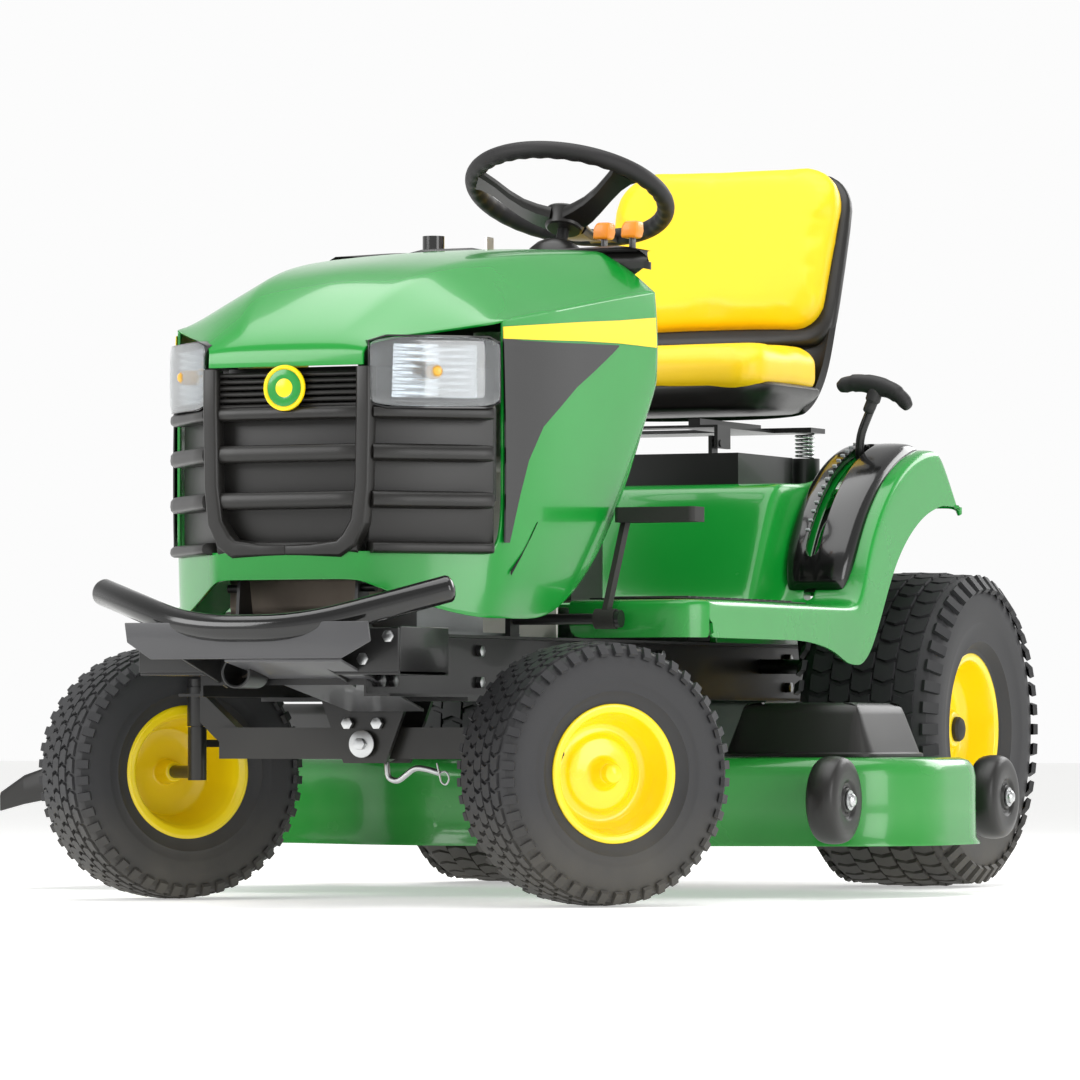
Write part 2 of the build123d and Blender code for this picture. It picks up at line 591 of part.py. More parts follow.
def dash_pedestal():
    """Hollow pedestal under a broad dash top, open below."""
    y0 = DASH_Y
    top = outline([(-284, y0), (284, y0), (214, y0 + 105), (122, y0 + 260), (62, y0 + 335), (-62, y0 + 335),
                   (-122, y0 + 260), (-214, y0 + 105)])
    w = PEDESTAL_W
    post = outline([(-w, y0), (w, y0), (w, y0 + 120), (w - 40, y0 + 150), (40 - w, y0 + 150), (-w, y0 + 120)])
    crown = loft([Plane.XY.offset(870) * post, Plane.XY.offset(DASH_EDGE) * top, Plane.XY.offset(DASH_TOP) * top],
                 ruled=True)
    leg = plan_prism(post, FLOOR_Z + 2, 871)
    inner = plan_prism(offset(post, -PLASTIC), FLOOR_Z - 10, DASH_TOP - 8)
    body = crown + leg - inner
    body -= rod(column_point(0, 0, -COLUMN_DEPTH - 2), column_point(0, 0, 60), SHAFT_R + 1)
    body -= block(KEY_AT[0] - 5, KEY_AT[0] + 5, KEY_AT[1] - 5, KEY_AT[1] + 5, 800, 1000)
    for x, y in (THROTTLE_AT, PARK_AT):
        body -= block(x - 5, x + 5, y - 45, y + 45, 880, 1000)
    body -= rod((KNOB_AT[0], KNOB_AT[1], 800), (KNOB_AT[0], KNOB_AT[1], 1000), 6)
    foot = block(w - 5, w, y0, y0 + 120, RAIL_Z1, FLOOR_Z + 2)
    foot += block(RAIL_X, RAIL_X + RAIL_FLANGE, y0, y0 + 120, RAIL_Z1, RAIL_Z1 + 5)
    body += foot + mirrored(foot)
    return body


def column_point(x, y, z):
    """The same point as a triple."""
    place = column(x, y, z).position
    return place.X, place.Y, place.Z


def steering_wheel():
    """Round rim on three spokes that drop to a hub on the shaft."""
    rim_plane = column(0, 0, WHEEL_LIFT)
    ring = Torus(WHEEL_R, WHEEL_TUBE)
    hub = Pos(0, 0, -62) * extrude(Circle(34), amount=32)
    parts = ring + hub
    for turn in (90, 210, 330):
        run = outline([(20, -58), (60, -40), (WHEEL_R - 42, -8), (WHEEL_R, 6), (WHEEL_R, -6), (WHEEL_R - 40, -22),
                       (64, -54), (20, -62)])
        spoke = extrude(Plane.XZ.offset(-13) * run, amount=26)
        parts += Rot(0, 0, turn) * spoke
    bore = rod((0, 0, -80), (0, 0, -34), SHAFT_R)
    return rim_plane * (parts - bore)


def steering_shaft():
    """The shaft inside the column, from the pedestal up into the wheel's hub."""
    return rod(column_point(0, 0, -COLUMN_DEPTH), column_point(0, 0, WHEEL_LIFT - 34), SHAFT_R)


LEVER_T = 6.0


THROTTLE_PIVOT_Z = 935.0
PARK_PIVOT_Z = 905.0


def dash_lever(place, pivot_z, top_z, grip_h):
    """A flat lever on a pivot under the dash with a thicker moulded grip."""
    x, y = place
    stem = block(x - LEVER_T / 2, x + LEVER_T / 2, y - 8, y + 8, pivot_z - 5, top_z - 5)
    grip = block(x - 13, x + 13, y - 13, y + 13, top_z - grip_h, top_z)
    grip = fillet(grip.edges(), 5)
    hub = rod((x - 4, y, pivot_z), (x + 4, y, pivot_z), 14)
    return stem + grip + hub


def throttle_lever():
    return dash_lever(THROTTLE_AT, THROTTLE_PIVOT_Z, DASH_TOP + 44, 26)


def park_brake_lever():
    return dash_lever(PARK_AT, PARK_PIVOT_Z, DASH_TOP + 34, 26)


def pto_knob():
    """A pull knob on a round stem."""
    x, y = KNOB_AT
    return rod((x, y, 950), (x, y, DASH_TOP + 10), 5.5) + rod((x, y, DASH_TOP + 2), (x, y, DASH_TOP + 24), 17)


def ignition_key():
    """A key with a flat bow standing out of its switch."""
    x, y = KEY_AT
    blade = rod((x, y, 950), (x, y, DASH_TOP + 2), 4)
    bow = block(x - 2, x + 2, y - 12, y + 12, DASH_TOP + 2, DASH_TOP + 26)
    return blade + bow


# ---- pedals ----
PEDAL_Y = FRONT_Y + 140
PEDAL_Z = RAIL_Z1 + 25
PEDAL_R = 8.0


def pedal_arm(x, lean, height, pad_x0, pad_x1, pad_y0, pad_y1):
    """A pivot sleeve, a flat arm leaning back and a ribbed pad across its top."""
    sleeve = rod((x - 16, PEDAL_Y, PEDAL_Z), (x + 16, PEDAL_Y, PEDAL_Z), 15)
    sleeve -= rod((x - 20, PEDAL_Y, PEDAL_Z), (x + 20, PEDAL_Y, PEDAL_Z), PEDAL_R + RUN_FIT)
    arm = outline([(PEDAL_Y - 9, PEDAL_Z + 10), (PEDAL_Y + 9, PEDAL_Z + 10), (PEDAL_Y + lean + 9, height),
                   (PEDAL_Y + lean - 9, height)])
    arm = side_prism(arm, x - 4, x + 4)
    pad = block(pad_x0, pad_x1, PEDAL_Y + pad_y0, PEDAL_Y + pad_y1, height - 2, height + 20)
    pad = fillet(pad.edges().filter_by(Axis.Z), 8)
    return sleeve + arm + pad


BRAKE_X = 304.0
REVERSE_X = BRAKE_X + 42.0


def brake_pedal():
    return pedal_arm(BRAKE_X, 70, 560, BRAKE_X - 8, BRAKE_X + 120, 43, 91)


def forward_pedal():
    return pedal_arm(-BRAKE_X, 55, 520, -BRAKE_X - 120, -BRAKE_X + 8, 25, 91)


def reverse_pedal():
    return pedal_arm(-REVERSE_X, 145, 484, -BRAKE_X - 128, -BRAKE_X - 30, 120, 185)


def pedal_shafts():
    """Fixed cross shafts on ears on both rails, which the pedals rock on."""
    ear = block(RAIL_X + 20, RAIL_X + 28, PEDAL_Y - 16, PEDAL_Y + 16, RAIL_Z1, PEDAL_Z + 14)
    left = rod((RAIL_X + 20, PEDAL_Y, PEDAL_Z), (BRAKE_X + 24, PEDAL_Y, PEDAL_Z), PEDAL_R) + ear
    left += rod((BRAKE_X + 17, PEDAL_Y, PEDAL_Z), (BRAKE_X + 24, PEDAL_Y, PEDAL_Z), PEDAL_R + 5)
    end_x = -REVERSE_X - 24
    right = rod((-RAIL_X - 20, PEDAL_Y, PEDAL_Z), (end_x, PEDAL_Y, PEDAL_Z), PEDAL_R) + mirrored(ear)
    right += rod((end_x + 7, PEDAL_Y, PEDAL_Z), (end_x, PEDAL_Y, PEDAL_Z), PEDAL_R + 5)
    return [left, right]


# ---- fender deck and console ----
FLOOR_FRONT = FRONT_Y + 165
FLOOR_IN = 232.0
FLOOR_MID_Y = -105.0        # front edge of the floor between the foot rests
SHELF_Y0 = 100.0
SHELF_Y1 = 200.0
DECK_REAR = REAR_Y + 60
WELL_X = 300.0              # inner face of each fender
REAR_APRON_X = 225.0


def fender_arc(x0, x1, inner, outer):
    """A band about the lift shaft, from the floor up and over to the rear slope."""
    ring = Pos(LIFT_Y, LIFT_Z) * (Circle(outer) - Circle(inner))
    keep = Pos(LIFT_Y - 200, FLOOR_Z + 300) * Rectangle(400, 600)
    return side_prism(ring & keep, x0, x1)


def fender_deck():
    """One formed cover: foot rests, step wall, top deck and both fenders with their skirts."""
    t = SHEET
    r = FENDER_R
    top_z = LIFT_Z + r
    tip = (LIFT_Y + 88, 612)
    floor = outline([(FLOOR_IN, FLOOR_FRONT), (FENDER_X - 40, FLOOR_FRONT), (FENDER_X, FLOOR_FRONT + 40),
                     (FENDER_X, 185), (-FENDER_X, 185), (-FENDER_X, FLOOR_FRONT + 40),
                     (-FENDER_X + 40, FLOOR_FRONT), (-FLOOR_IN, FLOOR_FRONT), (-FLOOR_IN, FLOOR_MID_Y),
                     (FLOOR_IN, FLOOR_MID_Y)])
    body = plan_prism(floor, FLOOR_Z - t, FLOOR_Z)
    rim_face = floor - offset(floor, -t)
    flange = plan_prism(rim_face, FLOOR_Z - 57, FLOOR_Z)
    flange -= block(-FLOOR_IN - 1, FLOOR_IN + 1, -200, 400, 300, FLOOR_Z - t)
    flange -= block(-600, 600, 100, 400, 300, FLOOR_Z - t)
    body += flange
    step = outline([(SHELF_Y0, FLOOR_Z - t), (SHELF_Y0 + t, FLOOR_Z - t), (SHELF_Y1 + t, SEAT_DECK_Z - t),
                    (SHELF_Y1 + t, SEAT_DECK_Z), (SHELF_Y1, SEAT_DECK_Z)])
    body += side_prism(step, -WELL_X, WELL_X)
    body += block(-WELL_X, WELL_X, SHELF_Y1, DECK_REAR, SEAT_DECK_Z - t, SEAT_DECK_Z)
    body += block(-REAR_APRON_X, REAR_APRON_X, DECK_REAR - t, DECK_REAR, 470, SEAT_DECK_Z)
    arc = [(LIFT_Y - r * math.sin(math.radians(a)), LIFT_Z + r * math.cos(math.radians(a)))
           for a in (75, 62, 45, 28, 13, 0)]
    skirt = outline([(SHELF_Y0 - 60, FLOOR_Z)] + arc + [tip, (LIFT_Y + 12, 612), (LIFT_Y - 202, 506),
                    (SHELF_Y0 + 79, 353), (SHELF_Y0 + 7, 352), (SHELF_Y0 - 60, FLOOR_Z - 57)])
    step_side = outline([(SHELF_Y0, FLOOR_Z - t), (LIFT_Y - 313, FLOOR_Z - t), (LIFT_Y - 190, SEAT_DECK_Z - t),
                         (LIFT_Y, SEAT_DECK_Z - t), (LIFT_Y, top_z - 1), (LIFT_Y - 80, top_z - 10),
                         (LIFT_Y - 160, top_z - 40), (LIFT_Y - 194, SEAT_DECK_Z), (SHELF_Y1, SEAT_DECK_Z)])
    slope = outline([(LIFT_Y, top_z), (LIFT_Y, top_z - t), (tip[0] - t, tip[1]), tip])
    one = fender_arc(WELL_X, FENDER_X, r - t, r)
    one += side_prism(slope, WELL_X, FENDER_X)
    one += side_prism(skirt, FENDER_X - t, FENDER_X)
    one += side_prism(step_side, WELL_X - t, WELL_X)
    behind = outline([(LIFT_Y, SEAT_DECK_Z - t), (LIFT_Y, top_z - 1), (tip[0] - 12, SEAT_DECK_Z - t)])
    one += side_prism(behind, WELL_X - t, WELL_X)
    one -= slot_block()
    body += one + mirrored(one)
    body += block(-FENDER_X, FENDER_X, SHELF_Y0, 186, FLOOR_Z - t, FLOOR_Z)
    for x in (SPRING_X, -SPRING_X):
        body -= rod((x, SPRING_Y, 600), (x, SPRING_Y, 660), 6)
    body -= block(-REVERSE_X - 8, 8 - REVERSE_X, FLOOR_FRONT - 10, FLOOR_FRONT + 75, FLOOR_Z - 30, FLOOR_Z + 5)
    foot = block(RAIL_X + 20, RAIL_X + 32, SHELF_Y1 + 60, DECK_REAR - 30, RAIL_Z1, SEAT_DECK_Z - t)
    return body + foot + mirrored(foot)


SLOT_X = 350.0             # where the lift lever passes through the left fender
SLOT_HALF = 10.0
CONSOLE_H = 18.0           # the console's height above the fender


def slot_block():
    """The room that the lift lever sweeps through the fender."""
    ring = Pos(LIFT_Y, LIFT_Z) * (Circle(FENDER_R + 60) - Circle(FENDER_R - 60))
    keep = Pos(LIFT_Y - 200, FLOOR_Z + 300) * Rectangle(400, 520)
    low = side_prism(ring & keep, SLOT_X - SLOT_HALF, SLOT_X + SLOT_HALF)
    return low


def lever_console():
    """Raised moulding on the left fender round the lift lever's slot."""
    ring = Pos(LIFT_Y, LIFT_Z) * (Circle(FENDER_R + CONSOLE_H) - Circle(FENDER_R + 0.2))
    wedge = outline([(LIFT_Y - 500, LIFT_Z + 150), (LIFT_Y - 340, LIFT_Z + 150), (LIFT_Y - 20, LIFT_Z + 330),
                     (LIFT_Y - 20, LIFT_Z + 500), (LIFT_Y - 500, LIFT_Z + 500)])
    return side_prism(ring & wedge, SLOT_X - 48, SLOT_X + 68) - slot_block()


# ---- lift lever ----
LEVER_R = 7.0
LEVER_FOOT_X = 205.0
LIFT_ARM = 62.0


def lever_at(x, reach, lean):
    """A point of the lever by its distance from the lift shaft and its lean from upright."""
    turn = math.radians(lean)
    return x, LIFT_Y - reach * math.sin(turn), LIFT_Z + reach * math.cos(turn)


def lift_lever():
    """A bent rod from the lift shaft, out under the seat and up through the fender, with a T grip."""
    points = [(LEVER_FOOT_X, LIFT_Y, LIFT_Z), lever_at(LEVER_FOOT_X, FENDER_R - 227, 12.3),
              lever_at(260, FENDER_R - 101, 15.5), lever_at(SLOT_X, FENDER_R - 43, 19.3),
              lever_at(SLOT_X, FENDER_R + CONSOLE_H + 12, 19.3), lever_at(SLOT_X + 28, FENDER_R + 94, 17)]
    lever = tube_along(points, LEVER_R, 18)
    top = Pos(*lever_at(SLOT_X + 32, FENDER_R + 106, 16.8)) * Rot(0, 14, 0)
    grip = top * fillet(Box(116, 34, 26).edges(), 12)
    shaft = rod((-RAIL_X - 20, LIFT_Y, LIFT_Z), (LEVER_FOOT_X + 11, LIFT_Y, LIFT_Z), LIFT_SHAFT_R)
    arm = block(94, 100, LIFT_Y - LIFT_ARM, LIFT_Y, LIFT_Z - 8, LIFT_Z + 8)
    return Compound(children=[shaft + lever + arm + mirrored(arm), grip])


# ---- seat ----
SPRING_X = 205.0
SPRING_Y = REAR_Y - 105
SPRING_R = 17.0
PLATFORM_Z = 690.0
SEAT_PIVOT_Y = REAR_Y - 355
SEAT_PIVOT_Z = 706.0
SEAT_PIN_R = 6.0
CHEEK_REACH = 12.0         # the bracket's cheeks reach this far in front of their pin
BRACKET_Z = 735.0
SLIDE_H = 12.0             # the slide rails stand this far above the bracket
SEAT_FRONT = REAR_Y - 295
SEAT_W = 215.0             # half width of the cushions
SEAT_SHELL_Z = 760.0
SEAT_FOOT = 872.0          # top of the base cushion


def seat_platform():
    """A tray on the deck with hinge ears at the front and two posts for the springs."""
    y0 = REAR_Y - 369
    tray = block(-200, 200, y0, SPRING_Y - 40, SEAT_DECK_Z, PLATFORM_Z)
    tray -= block(-192, 192, y0 + 8, SPRING_Y - 48, SEAT_DECK_Z - 1, PLATFORM_Z - 5)
    for x in (-154, 148):
        tray += block(x, x + 6, SEAT_PIVOT_Y - 12, SEAT_PIVOT_Y + 12, PLATFORM_Z - 1, SEAT_PIVOT_Z + 12)
    tray += rod((-166, SEAT_PIVOT_Y, SEAT_PIVOT_Z), (-148, SEAT_PIVOT_Y, SEAT_PIVOT_Z), SEAT_PIN_R)
    tray += rod((148, SEAT_PIVOT_Y, SEAT_PIVOT_Z), (166, SEAT_PIVOT_Y, SEAT_PIVOT_Z), SEAT_PIN_R)
    parts = [tray]
    for x in (-SPRING_X, SPRING_X):
        parts.append(Pos(x, SPRING_Y, SEAT_DECK_Z) * extrude(Circle(24), amount=PLATFORM_Z - SEAT_DECK_Z))
    return Compound(children=parts)


def seat_bracket():
    """A sheet bracket hinged at the front, with slide rails on top and a cross plate over the springs."""
    cheek = block(158, 164, SEAT_PIVOT_Y - CHEEK_REACH, SEAT_PIVOT_Y + 40, SEAT_PIVOT_Z - 8, BRACKET_Z)
    parts = cheek + mirrored(cheek)
    plate = block(-164, 164, SEAT_PIVOT_Y - CHEEK_REACH, SPRING_Y - 30, BRACKET_Z - 4, BRACKET_Z)
    plate -= block(-90, 90, SEAT_PIVOT_Y + 40, SPRING_Y - 80, BRACKET_Z - 10, BRACKET_Z + 10)
    cross = block(-SPRING_X - 24, SPRING_X + 24, SPRING_Y - 32, SPRING_Y + 28, BRACKET_Z - 4, BRACKET_Z + 4)
    parts += plate + cross
    for x in (-120, 100):
        parts += block(x, x + 20, SEAT_PIVOT_Y + 20, SPRING_Y + 20, BRACKET_Z - 2, BRACKET_Z + SLIDE_H)
    hole = rod((-170, SEAT_PIVOT_Y, SEAT_PIVOT_Z), (170, SEAT_PIVOT_Y, SEAT_PIVOT_Z), SEAT_PIN_R + RUN_FIT)
    return parts - hole


def seat_springs():
    """Two barrel springs on their posts, as plain closed coils."""
    parts = []
    for x in (-SPRING_X, SPRING_X):
        coil = Circle(SPRING_R) - Circle(SPRING_R - 4)
        height = BRACKET_Z - 4 - PIN_GAP - PLATFORM_Z
        parts.append(Pos(x, SPRING_Y, PLATFORM_Z) * extrude(coil, amount=height))
    return Compound(children=parts)


def seat_pan_side(y_front, back_top):
    """Side outline of the shell: a tray under the base that turns up behind the back."""
    y = y_front
    z = SEAT_SHELL_Z
    return outline([(y + 4, z + 26), (y + 50, z), (y + 250, z - 2), (y + 300, z + 26), (y + 352, z + 160),
                    (y + 434, back_top), (y + 422, back_top), (y + 340, z + 164), (y + 292, z + 38),
                    (y + 246, z + 10), (y + 54, z + 12), (y + 6, z + 36)])


def seat_shell():
    """Moulded seat pan with side walls and two slide feet."""
    back_top = SEAT_FOOT + 290
    shell = side_prism(seat_pan_side(SEAT_FRONT, back_top), -SEAT_W - 1, SEAT_W + 1)
    y = SEAT_FRONT
    z = SEAT_SHELL_Z
    cheek = outline([(y + 60, z + 4), (y + 246, z), (y + 300, z + 30), (y + 352, z + 164), (y + 352, z + 200),
                     (y + 300, z + 112), (y + 120, z + 34)])
    cheek = side_prism(cheek, SEAT_W + 1, SEAT_W + 7)
    shell += cheek + mirrored(cheek)
    for x in (-126, 94):
        shell += block(x, x + 32, y + 70, y + 230, BRACKET_Z + SLIDE_H + PIN_GAP, z + 4)
    return shell


def seat_base_cushion():
    """Base cushion, plain, seated in the pan."""
    z = SEAT_SHELL_Z
    y = SEAT_FRONT
    side = outline([(y - 4, z + 40), (y + 10, z + 37), (y + 56, z + 13), (y + 244, z + 11), (y + 288, z + 40),
                    (y + 300, SEAT_FOOT - 6), (y + 250, SEAT_FOOT - 4), (y + 60, SEAT_FOOT - 10),
                    (y + 16, SEAT_FOOT - 18), (y - 4, z + 80)])
    return side_prism(side, -SEAT_W, SEAT_W)


def seat_back_cushion():
    """Back cushion, plain, leaning back with the shell."""
    z = SEAT_SHELL_Z
    y = SEAT_FRONT
    side = outline([(y + 262, SEAT_FOOT + 20), (y + 316, SEAT_FOOT + 20), (y + 338, z + 164.5),
                    (y + 419, SEAT_FOOT + 300), (y + 400, SEAT_FOOT + 318), (y + 372, SEAT_FOOT + 316),
                    (y + 346, SEAT_FOOT + 280), (y + 282, z + 200)])
    return side_prism(side, -SEAT_W + 3, SEAT_W - 3)


# ---- mower deck ----
def deck_outline():
    """Plan of the deck: nose ahead of the middle blade, round left end, flat discharge side."""
    r = BLADE_PITCH / 2 + 35
    lobe = BLADE_PITCH + 5
    front = BLADE_Y - BLADE_AHEAD - 220
    points = [(-DECK_RIGHT, BLADE_Y - 225), (-lobe, BLADE_Y - r), (-130, front), (130, front),
              (lobe, BLADE_Y - r), (DECK_LEFT - 60, BLADE_Y - 165), (DECK_LEFT, BLADE_Y - 60),
              (DECK_LEFT, BLADE_Y + 140), (DECK_LEFT - 100, BLADE_Y + 240), (-DECK_RIGHT + 60, BLADE_Y + 240),
              (-DECK_RIGHT, BLADE_Y + 180)]
    return outline(points)


BLADE_X = 5.0               # the middle spindle's place across the machine
SPINDLES = {
    "left": (BLADE_X + BLADE_PITCH, BLADE_Y),
    "centre": (BLADE_X, BLADE_Y - BLADE_AHEAD),
    "right": (BLADE_X - BLADE_PITCH, BLADE_Y),
}
CHUTE_Y0 = BLADE_Y - 210
CHUTE_Y1 = BLADE_Y + 140
GAUGE_R = 66.0
GAUGE_W = 52.0
GAUGE_Z = 148.0
GAUGE_PIN_R = 8.0
GAUGE_WALLS = {             # where each roller's bracket meets the deck's wall
    "front_left": BLADE_Y - 160,
    "rear_left": BLADE_Y + 222,
    "front_right": BLADE_Y - 212,
    "rear_right": BLADE_Y + 222,
}
FLAP_X = -DECK_RIGHT - 9    # the discharge flap's hinge
FLAP_Z = DECK_TOP + 6
FLAP_PIN_R = 4.0
FLAP_REACH = 276.0
GAUGES = {
    "front_left": (DECK_LEFT - 92, BLADE_Y - 262),
    "rear_left": (DECK_LEFT - 56, BLADE_Y + 312),
    "front_right": (72 - DECK_RIGHT, BLADE_Y - 362),
    "rear_right": (36 - DECK_RIGHT, BLADE_Y + 312),
}


def deck_shell():
    """Pressed shell, open below and at the discharge, with spindle housings and gauge wheel axles."""
    plan = deck_outline()
    shell = plan_prism(plan, DECK_LIP, DECK_TOP)
    shell -= plan_prism(offset(plan, -SHEET), DECK_LIP - 1, DECK_TOP - SHEET)
    shell -= block(-DECK_RIGHT - 5, 10 - DECK_RIGHT, CHUTE_Y0 + 20, CHUTE_Y1 - 20, DECK_LIP - 1, DECK_TOP - 14)
    for x, y in SPINDLES.values():
        shell += rod((x, y, DECK_TOP - 26), (x, y, DECK_TOP + 12), 34)
        shell -= rod((x, y, DECK_TOP - 30), (x, y, DECK_TOP + 20), SPINDLE_R + RUN_FIT)
    for name, (x, y) in GAUGES.items():
        side = 1 if x > 0 else -1
        inner = x - side * (GAUGE_W / 2 + 6)
        ends = (y - 12, y + 12, GAUGE_WALLS[name])
        x0, x1 = sorted((inner, inner - side * 6))
        shell += block(x0, x1, min(ends), max(ends), GAUGE_Z - 14, GAUGE_Z + 14)
        shell += rod((inner - side * 6, y, GAUGE_Z), (x + side * (GAUGE_W / 2 + 4), y, GAUGE_Z), GAUGE_PIN_R)
    shell += rod((FLAP_X, CHUTE_Y0 - 8, FLAP_Z), (FLAP_X, CHUTE_Y1 + 8, FLAP_Z), FLAP_PIN_R)
    for y in (CHUTE_Y0 - 8, CHUTE_Y1 + 2):
        shell += block(FLAP_X - 6, 20 - DECK_RIGHT, y, y + 6, DECK_TOP - 8, DECK_TOP + 12)
    for x in (-250, 244):
        for y in (BLADE_Y - 60, BLADE_Y + 170):
            shell += block(x, x + 6, y, y + 40, DECK_TOP - 1, DECK_TOP + 50)
    return shell


COVER_H = 84.0


def deck_belt_covers():
    """A moulded cover over each outer spindle's pulley, open below."""
    top = DECK_TOP + COVER_H
    parts = []
    for name in ("left", "right"):
        x, y = SPINDLES[name]
        side = 1 if x > 0 else -1
        foot = outline([(x - side * 100, y - 130), (x + side * 140, y - 118), (x + side * 150, y + 104),
                        (x - side * 100, y + 130)])
        crown = offset(foot, -34)
        inner_foot = offset(foot, -PLASTIC)
        inner_crown = offset(foot, -34 - PLASTIC)
        shell = loft([Plane.XY.offset(DECK_TOP) * foot, Plane.XY.offset(top) * crown], ruled=True)
        inner = loft([Plane.XY.offset(DECK_TOP - 1) * inner_foot, Plane.XY.offset(top - PLASTIC) * inner_crown],
                     ruled=True)
        parts.append(shell - inner)
    return Compound(children=parts)


def blade_spindle(name):
    """Spindle shaft with its pulley above the deck and the blade below, held by a bolt and washer."""
    x, y = SPINDLES[name]
    low = BLADE_Z - BLADE_T / 2
    high = BLADE_Z + BLADE_T / 2
    shaft = rod((x, y, low - 5), (x, y, DECK_TOP + 34), SPINDLE_R)
    pulley = rod((x, y, DECK_TOP + 13), (x, y, DECK_TOP + 31), PULLEY_R)
    groove = rod((x, y, DECK_TOP + 18), (x, y, DECK_TOP + 26), PULLEY_R + 12)
    groove -= rod((x, y, DECK_TOP + 18), (x, y, DECK_TOP + 26), PULLEY_R - 10)
    bolt = rod((x, y, low - 9), (x, y, low), 18)
    collar = rod((x, y, high), (x, y, DECK_TOP - 27), 24)
    half = BLADE_LEN / 2
    blade = block(x - half, x + half, y - 28, y + 28, low, high)
    wing = outline([(12, low), (28, low), (28, high), (34, high + 23), (29, high + 23), (22, high), (12, high)])
    wing = side_prism(wing, -half, 80 - half)
    blade += Pos(x, y, 0) * wing + Pos(x, y, 0) * Rot(0, 0, 180) * wing
    blade -= rod((x, y, low - 7), (x, y, high + 7), SPINDLE_R)
    return Compound(children=[shaft + (pulley - groove) + bolt + collar, blade])


def gauge_wheel(name):
    """A plain anti-scalp roller on its deck axle."""
    x, y = GAUGES[name]
    half = GAUGE_W / 2
    bore = GAUGE_PIN_R + RUN_FIT
    section = outline([(-half, bore), (half, bore), (half, GAUGE_R - 14), (half - 12, GAUGE_R),
                       (12 - half, GAUGE_R), (-half, GAUGE_R - 14)])
    return Pos(x, y, GAUGE_Z) * revolve(Plane.XY * section, axis=Axis.X)


def chute_deflector():
    """A moulded flap over the discharge, hinged on the deck's rod."""
    x = FLAP_X
    z = FLAP_Z
    y0 = CHUTE_Y0
    y1 = CHUTE_Y1
    end = x - FLAP_REACH
    section = outline([(x - 8, z - 2), (x - 40, z - 2), (x - 180, z - 18), (end, z - 62), (end + 3, z - 67),
                       (x - 178, z - 24), (x - 42, z - 8), (x - 8, z - 8)])
    flap = front_prism(section, y0 + 4, y1 - 4)
    cheek = outline([(x - 20, z - 4), (x - 180, z - 19), (end + 2, z - 64), (x - 180, z - 92), (x - 20, z - 100)])
    flap += front_prism(cheek, y0 + 4, y0 + 9) + front_prism(cheek, y1 - 9, y1 - 4)
    for y in (y0 + 4, y0 + 100, y1 - 124, y1 - 24):
        barrel = rod((x, y, z), (x, y + 20, z), 9) + block(x - 14, x, y, y + 20, z - 8, z - 2)
        flap += barrel
    return flap - rod((x, y0, z), (x, y1, z), FLAP_PIN_R + RUN_FIT)


# ---- all nodes ----
NODES = {
    "frame_rail_left": frame_rail,
    "frame_rail_right": lambda: mirrored(frame_rail()),
    "frame_crossmembers": frame_crossmembers,
    "hitch_plate": hitch_plate,
    "bumper_bar": bumper_bar,
    "bumper_bracket": bumper_bracket,
    "hood_hinge_bracket": hood_hinge_bracket,
    "front_axle": front_axle,
    "steering_knuckle_left": lambda: steering_knuckle(1),
    "steering_knuckle_right": lambda: steering_knuckle(-1),
    "tie_rod": tie_rod,
    "front_rim_left": lambda: front_rim(1),
    "front_rim_right": lambda: front_rim(-1),
    "front_tyre_left": lambda: front_tyre(1),
    "front_tyre_right": lambda: front_tyre(-1),
    "rear_rim_left": lambda: rear_rim(1),
    "rear_rim_right": lambda: rear_rim(-1),
    "rear_tyre_left": lambda: rear_tyre(1),
    "rear_tyre_right": lambda: rear_tyre(-1),
    "rear_axle_left": lambda: rear_axle(1),
    "rear_axle_right": lambda: rear_axle(-1),
    "transaxle": transaxle,
    "engine_block": engine_block,
    "engine_shroud": engine_shroud,
    "muffler": muffler,
    "fuel_tank": fuel_tank,
    "battery": battery,
    "hood_shell": hood_shell,
    "hood_grille": hood_grille,
    "headlight_lenses": headlight_lenses,
    "headlight_housings": headlight_housings,
    "dash_pedestal": dash_pedestal,
    "steering_wheel": steering_wheel,
    "steering_shaft": steering_shaft,
    "throttle_lever": throttle_lever,
    "park_brake_lever": park_brake_lever,
    "pto_knob": pto_knob,
    "ignition_key": ignition_key,
    "brake_pedal": brake_pedal,
    "forward_pedal": forward_pedal,
    "reverse_pedal": reverse_pedal,
    "fender_deck": fender_deck,
    "lever_console": lever_console,
    "lift_lever": lift_lever,
    "seat_platform": seat_platform,
    "seat_bracket": seat_bracket,
    "seat_springs": seat_springs,
    "seat_shell": seat_shell,
    "seat_base_cushion": seat_base_cushion,
    "seat_back_cushion": seat_back_cushion,
    "deck_shell": deck_shell,
    "deck_belt_covers": deck_belt_covers,
    "blade_spindle_left": lambda: blade_spindle("left"),
    "blade_spindle_centre": lambda: blade_spindle("centre"),
    "blade_spindle_right": lambda: blade_spindle("right"),
    "gauge_wheel_front_left": lambda: gauge_wheel("front_left"),
    "gauge_wheel_front_right": lambda: gauge_wheel("front_right"),
    "gauge_wheel_rear_left": lambda: gauge_wheel("rear_left"),
    "gauge_wheel_rear_right": lambda: gauge_wheel("rear_right"),
    "chute_deflector": chute_deflector,
}

# The origin is the middle of the machine's box: the chute reaches out furthest on the right, the deck
# on the left, the bumper at the front and the hitch tongue at the rear.
ORIGIN_X = (DECK_LEFT + FLAP_X - FLAP_REACH) / 2
ORIGIN_Y = (BUMPER_Y - BUMPER_R + TONGUE_END) / 2


def build():
    """Build every node in the row's own frame."""
    return {name: Pos(-ORIGIN_X, -ORIGIN_Y, 0) * make() for name, make in NODES.items()}


if __name__ == "__main__":
    for name, shape in build().items():
        export_step(shape, f"parts/{name}.step")
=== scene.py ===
import math

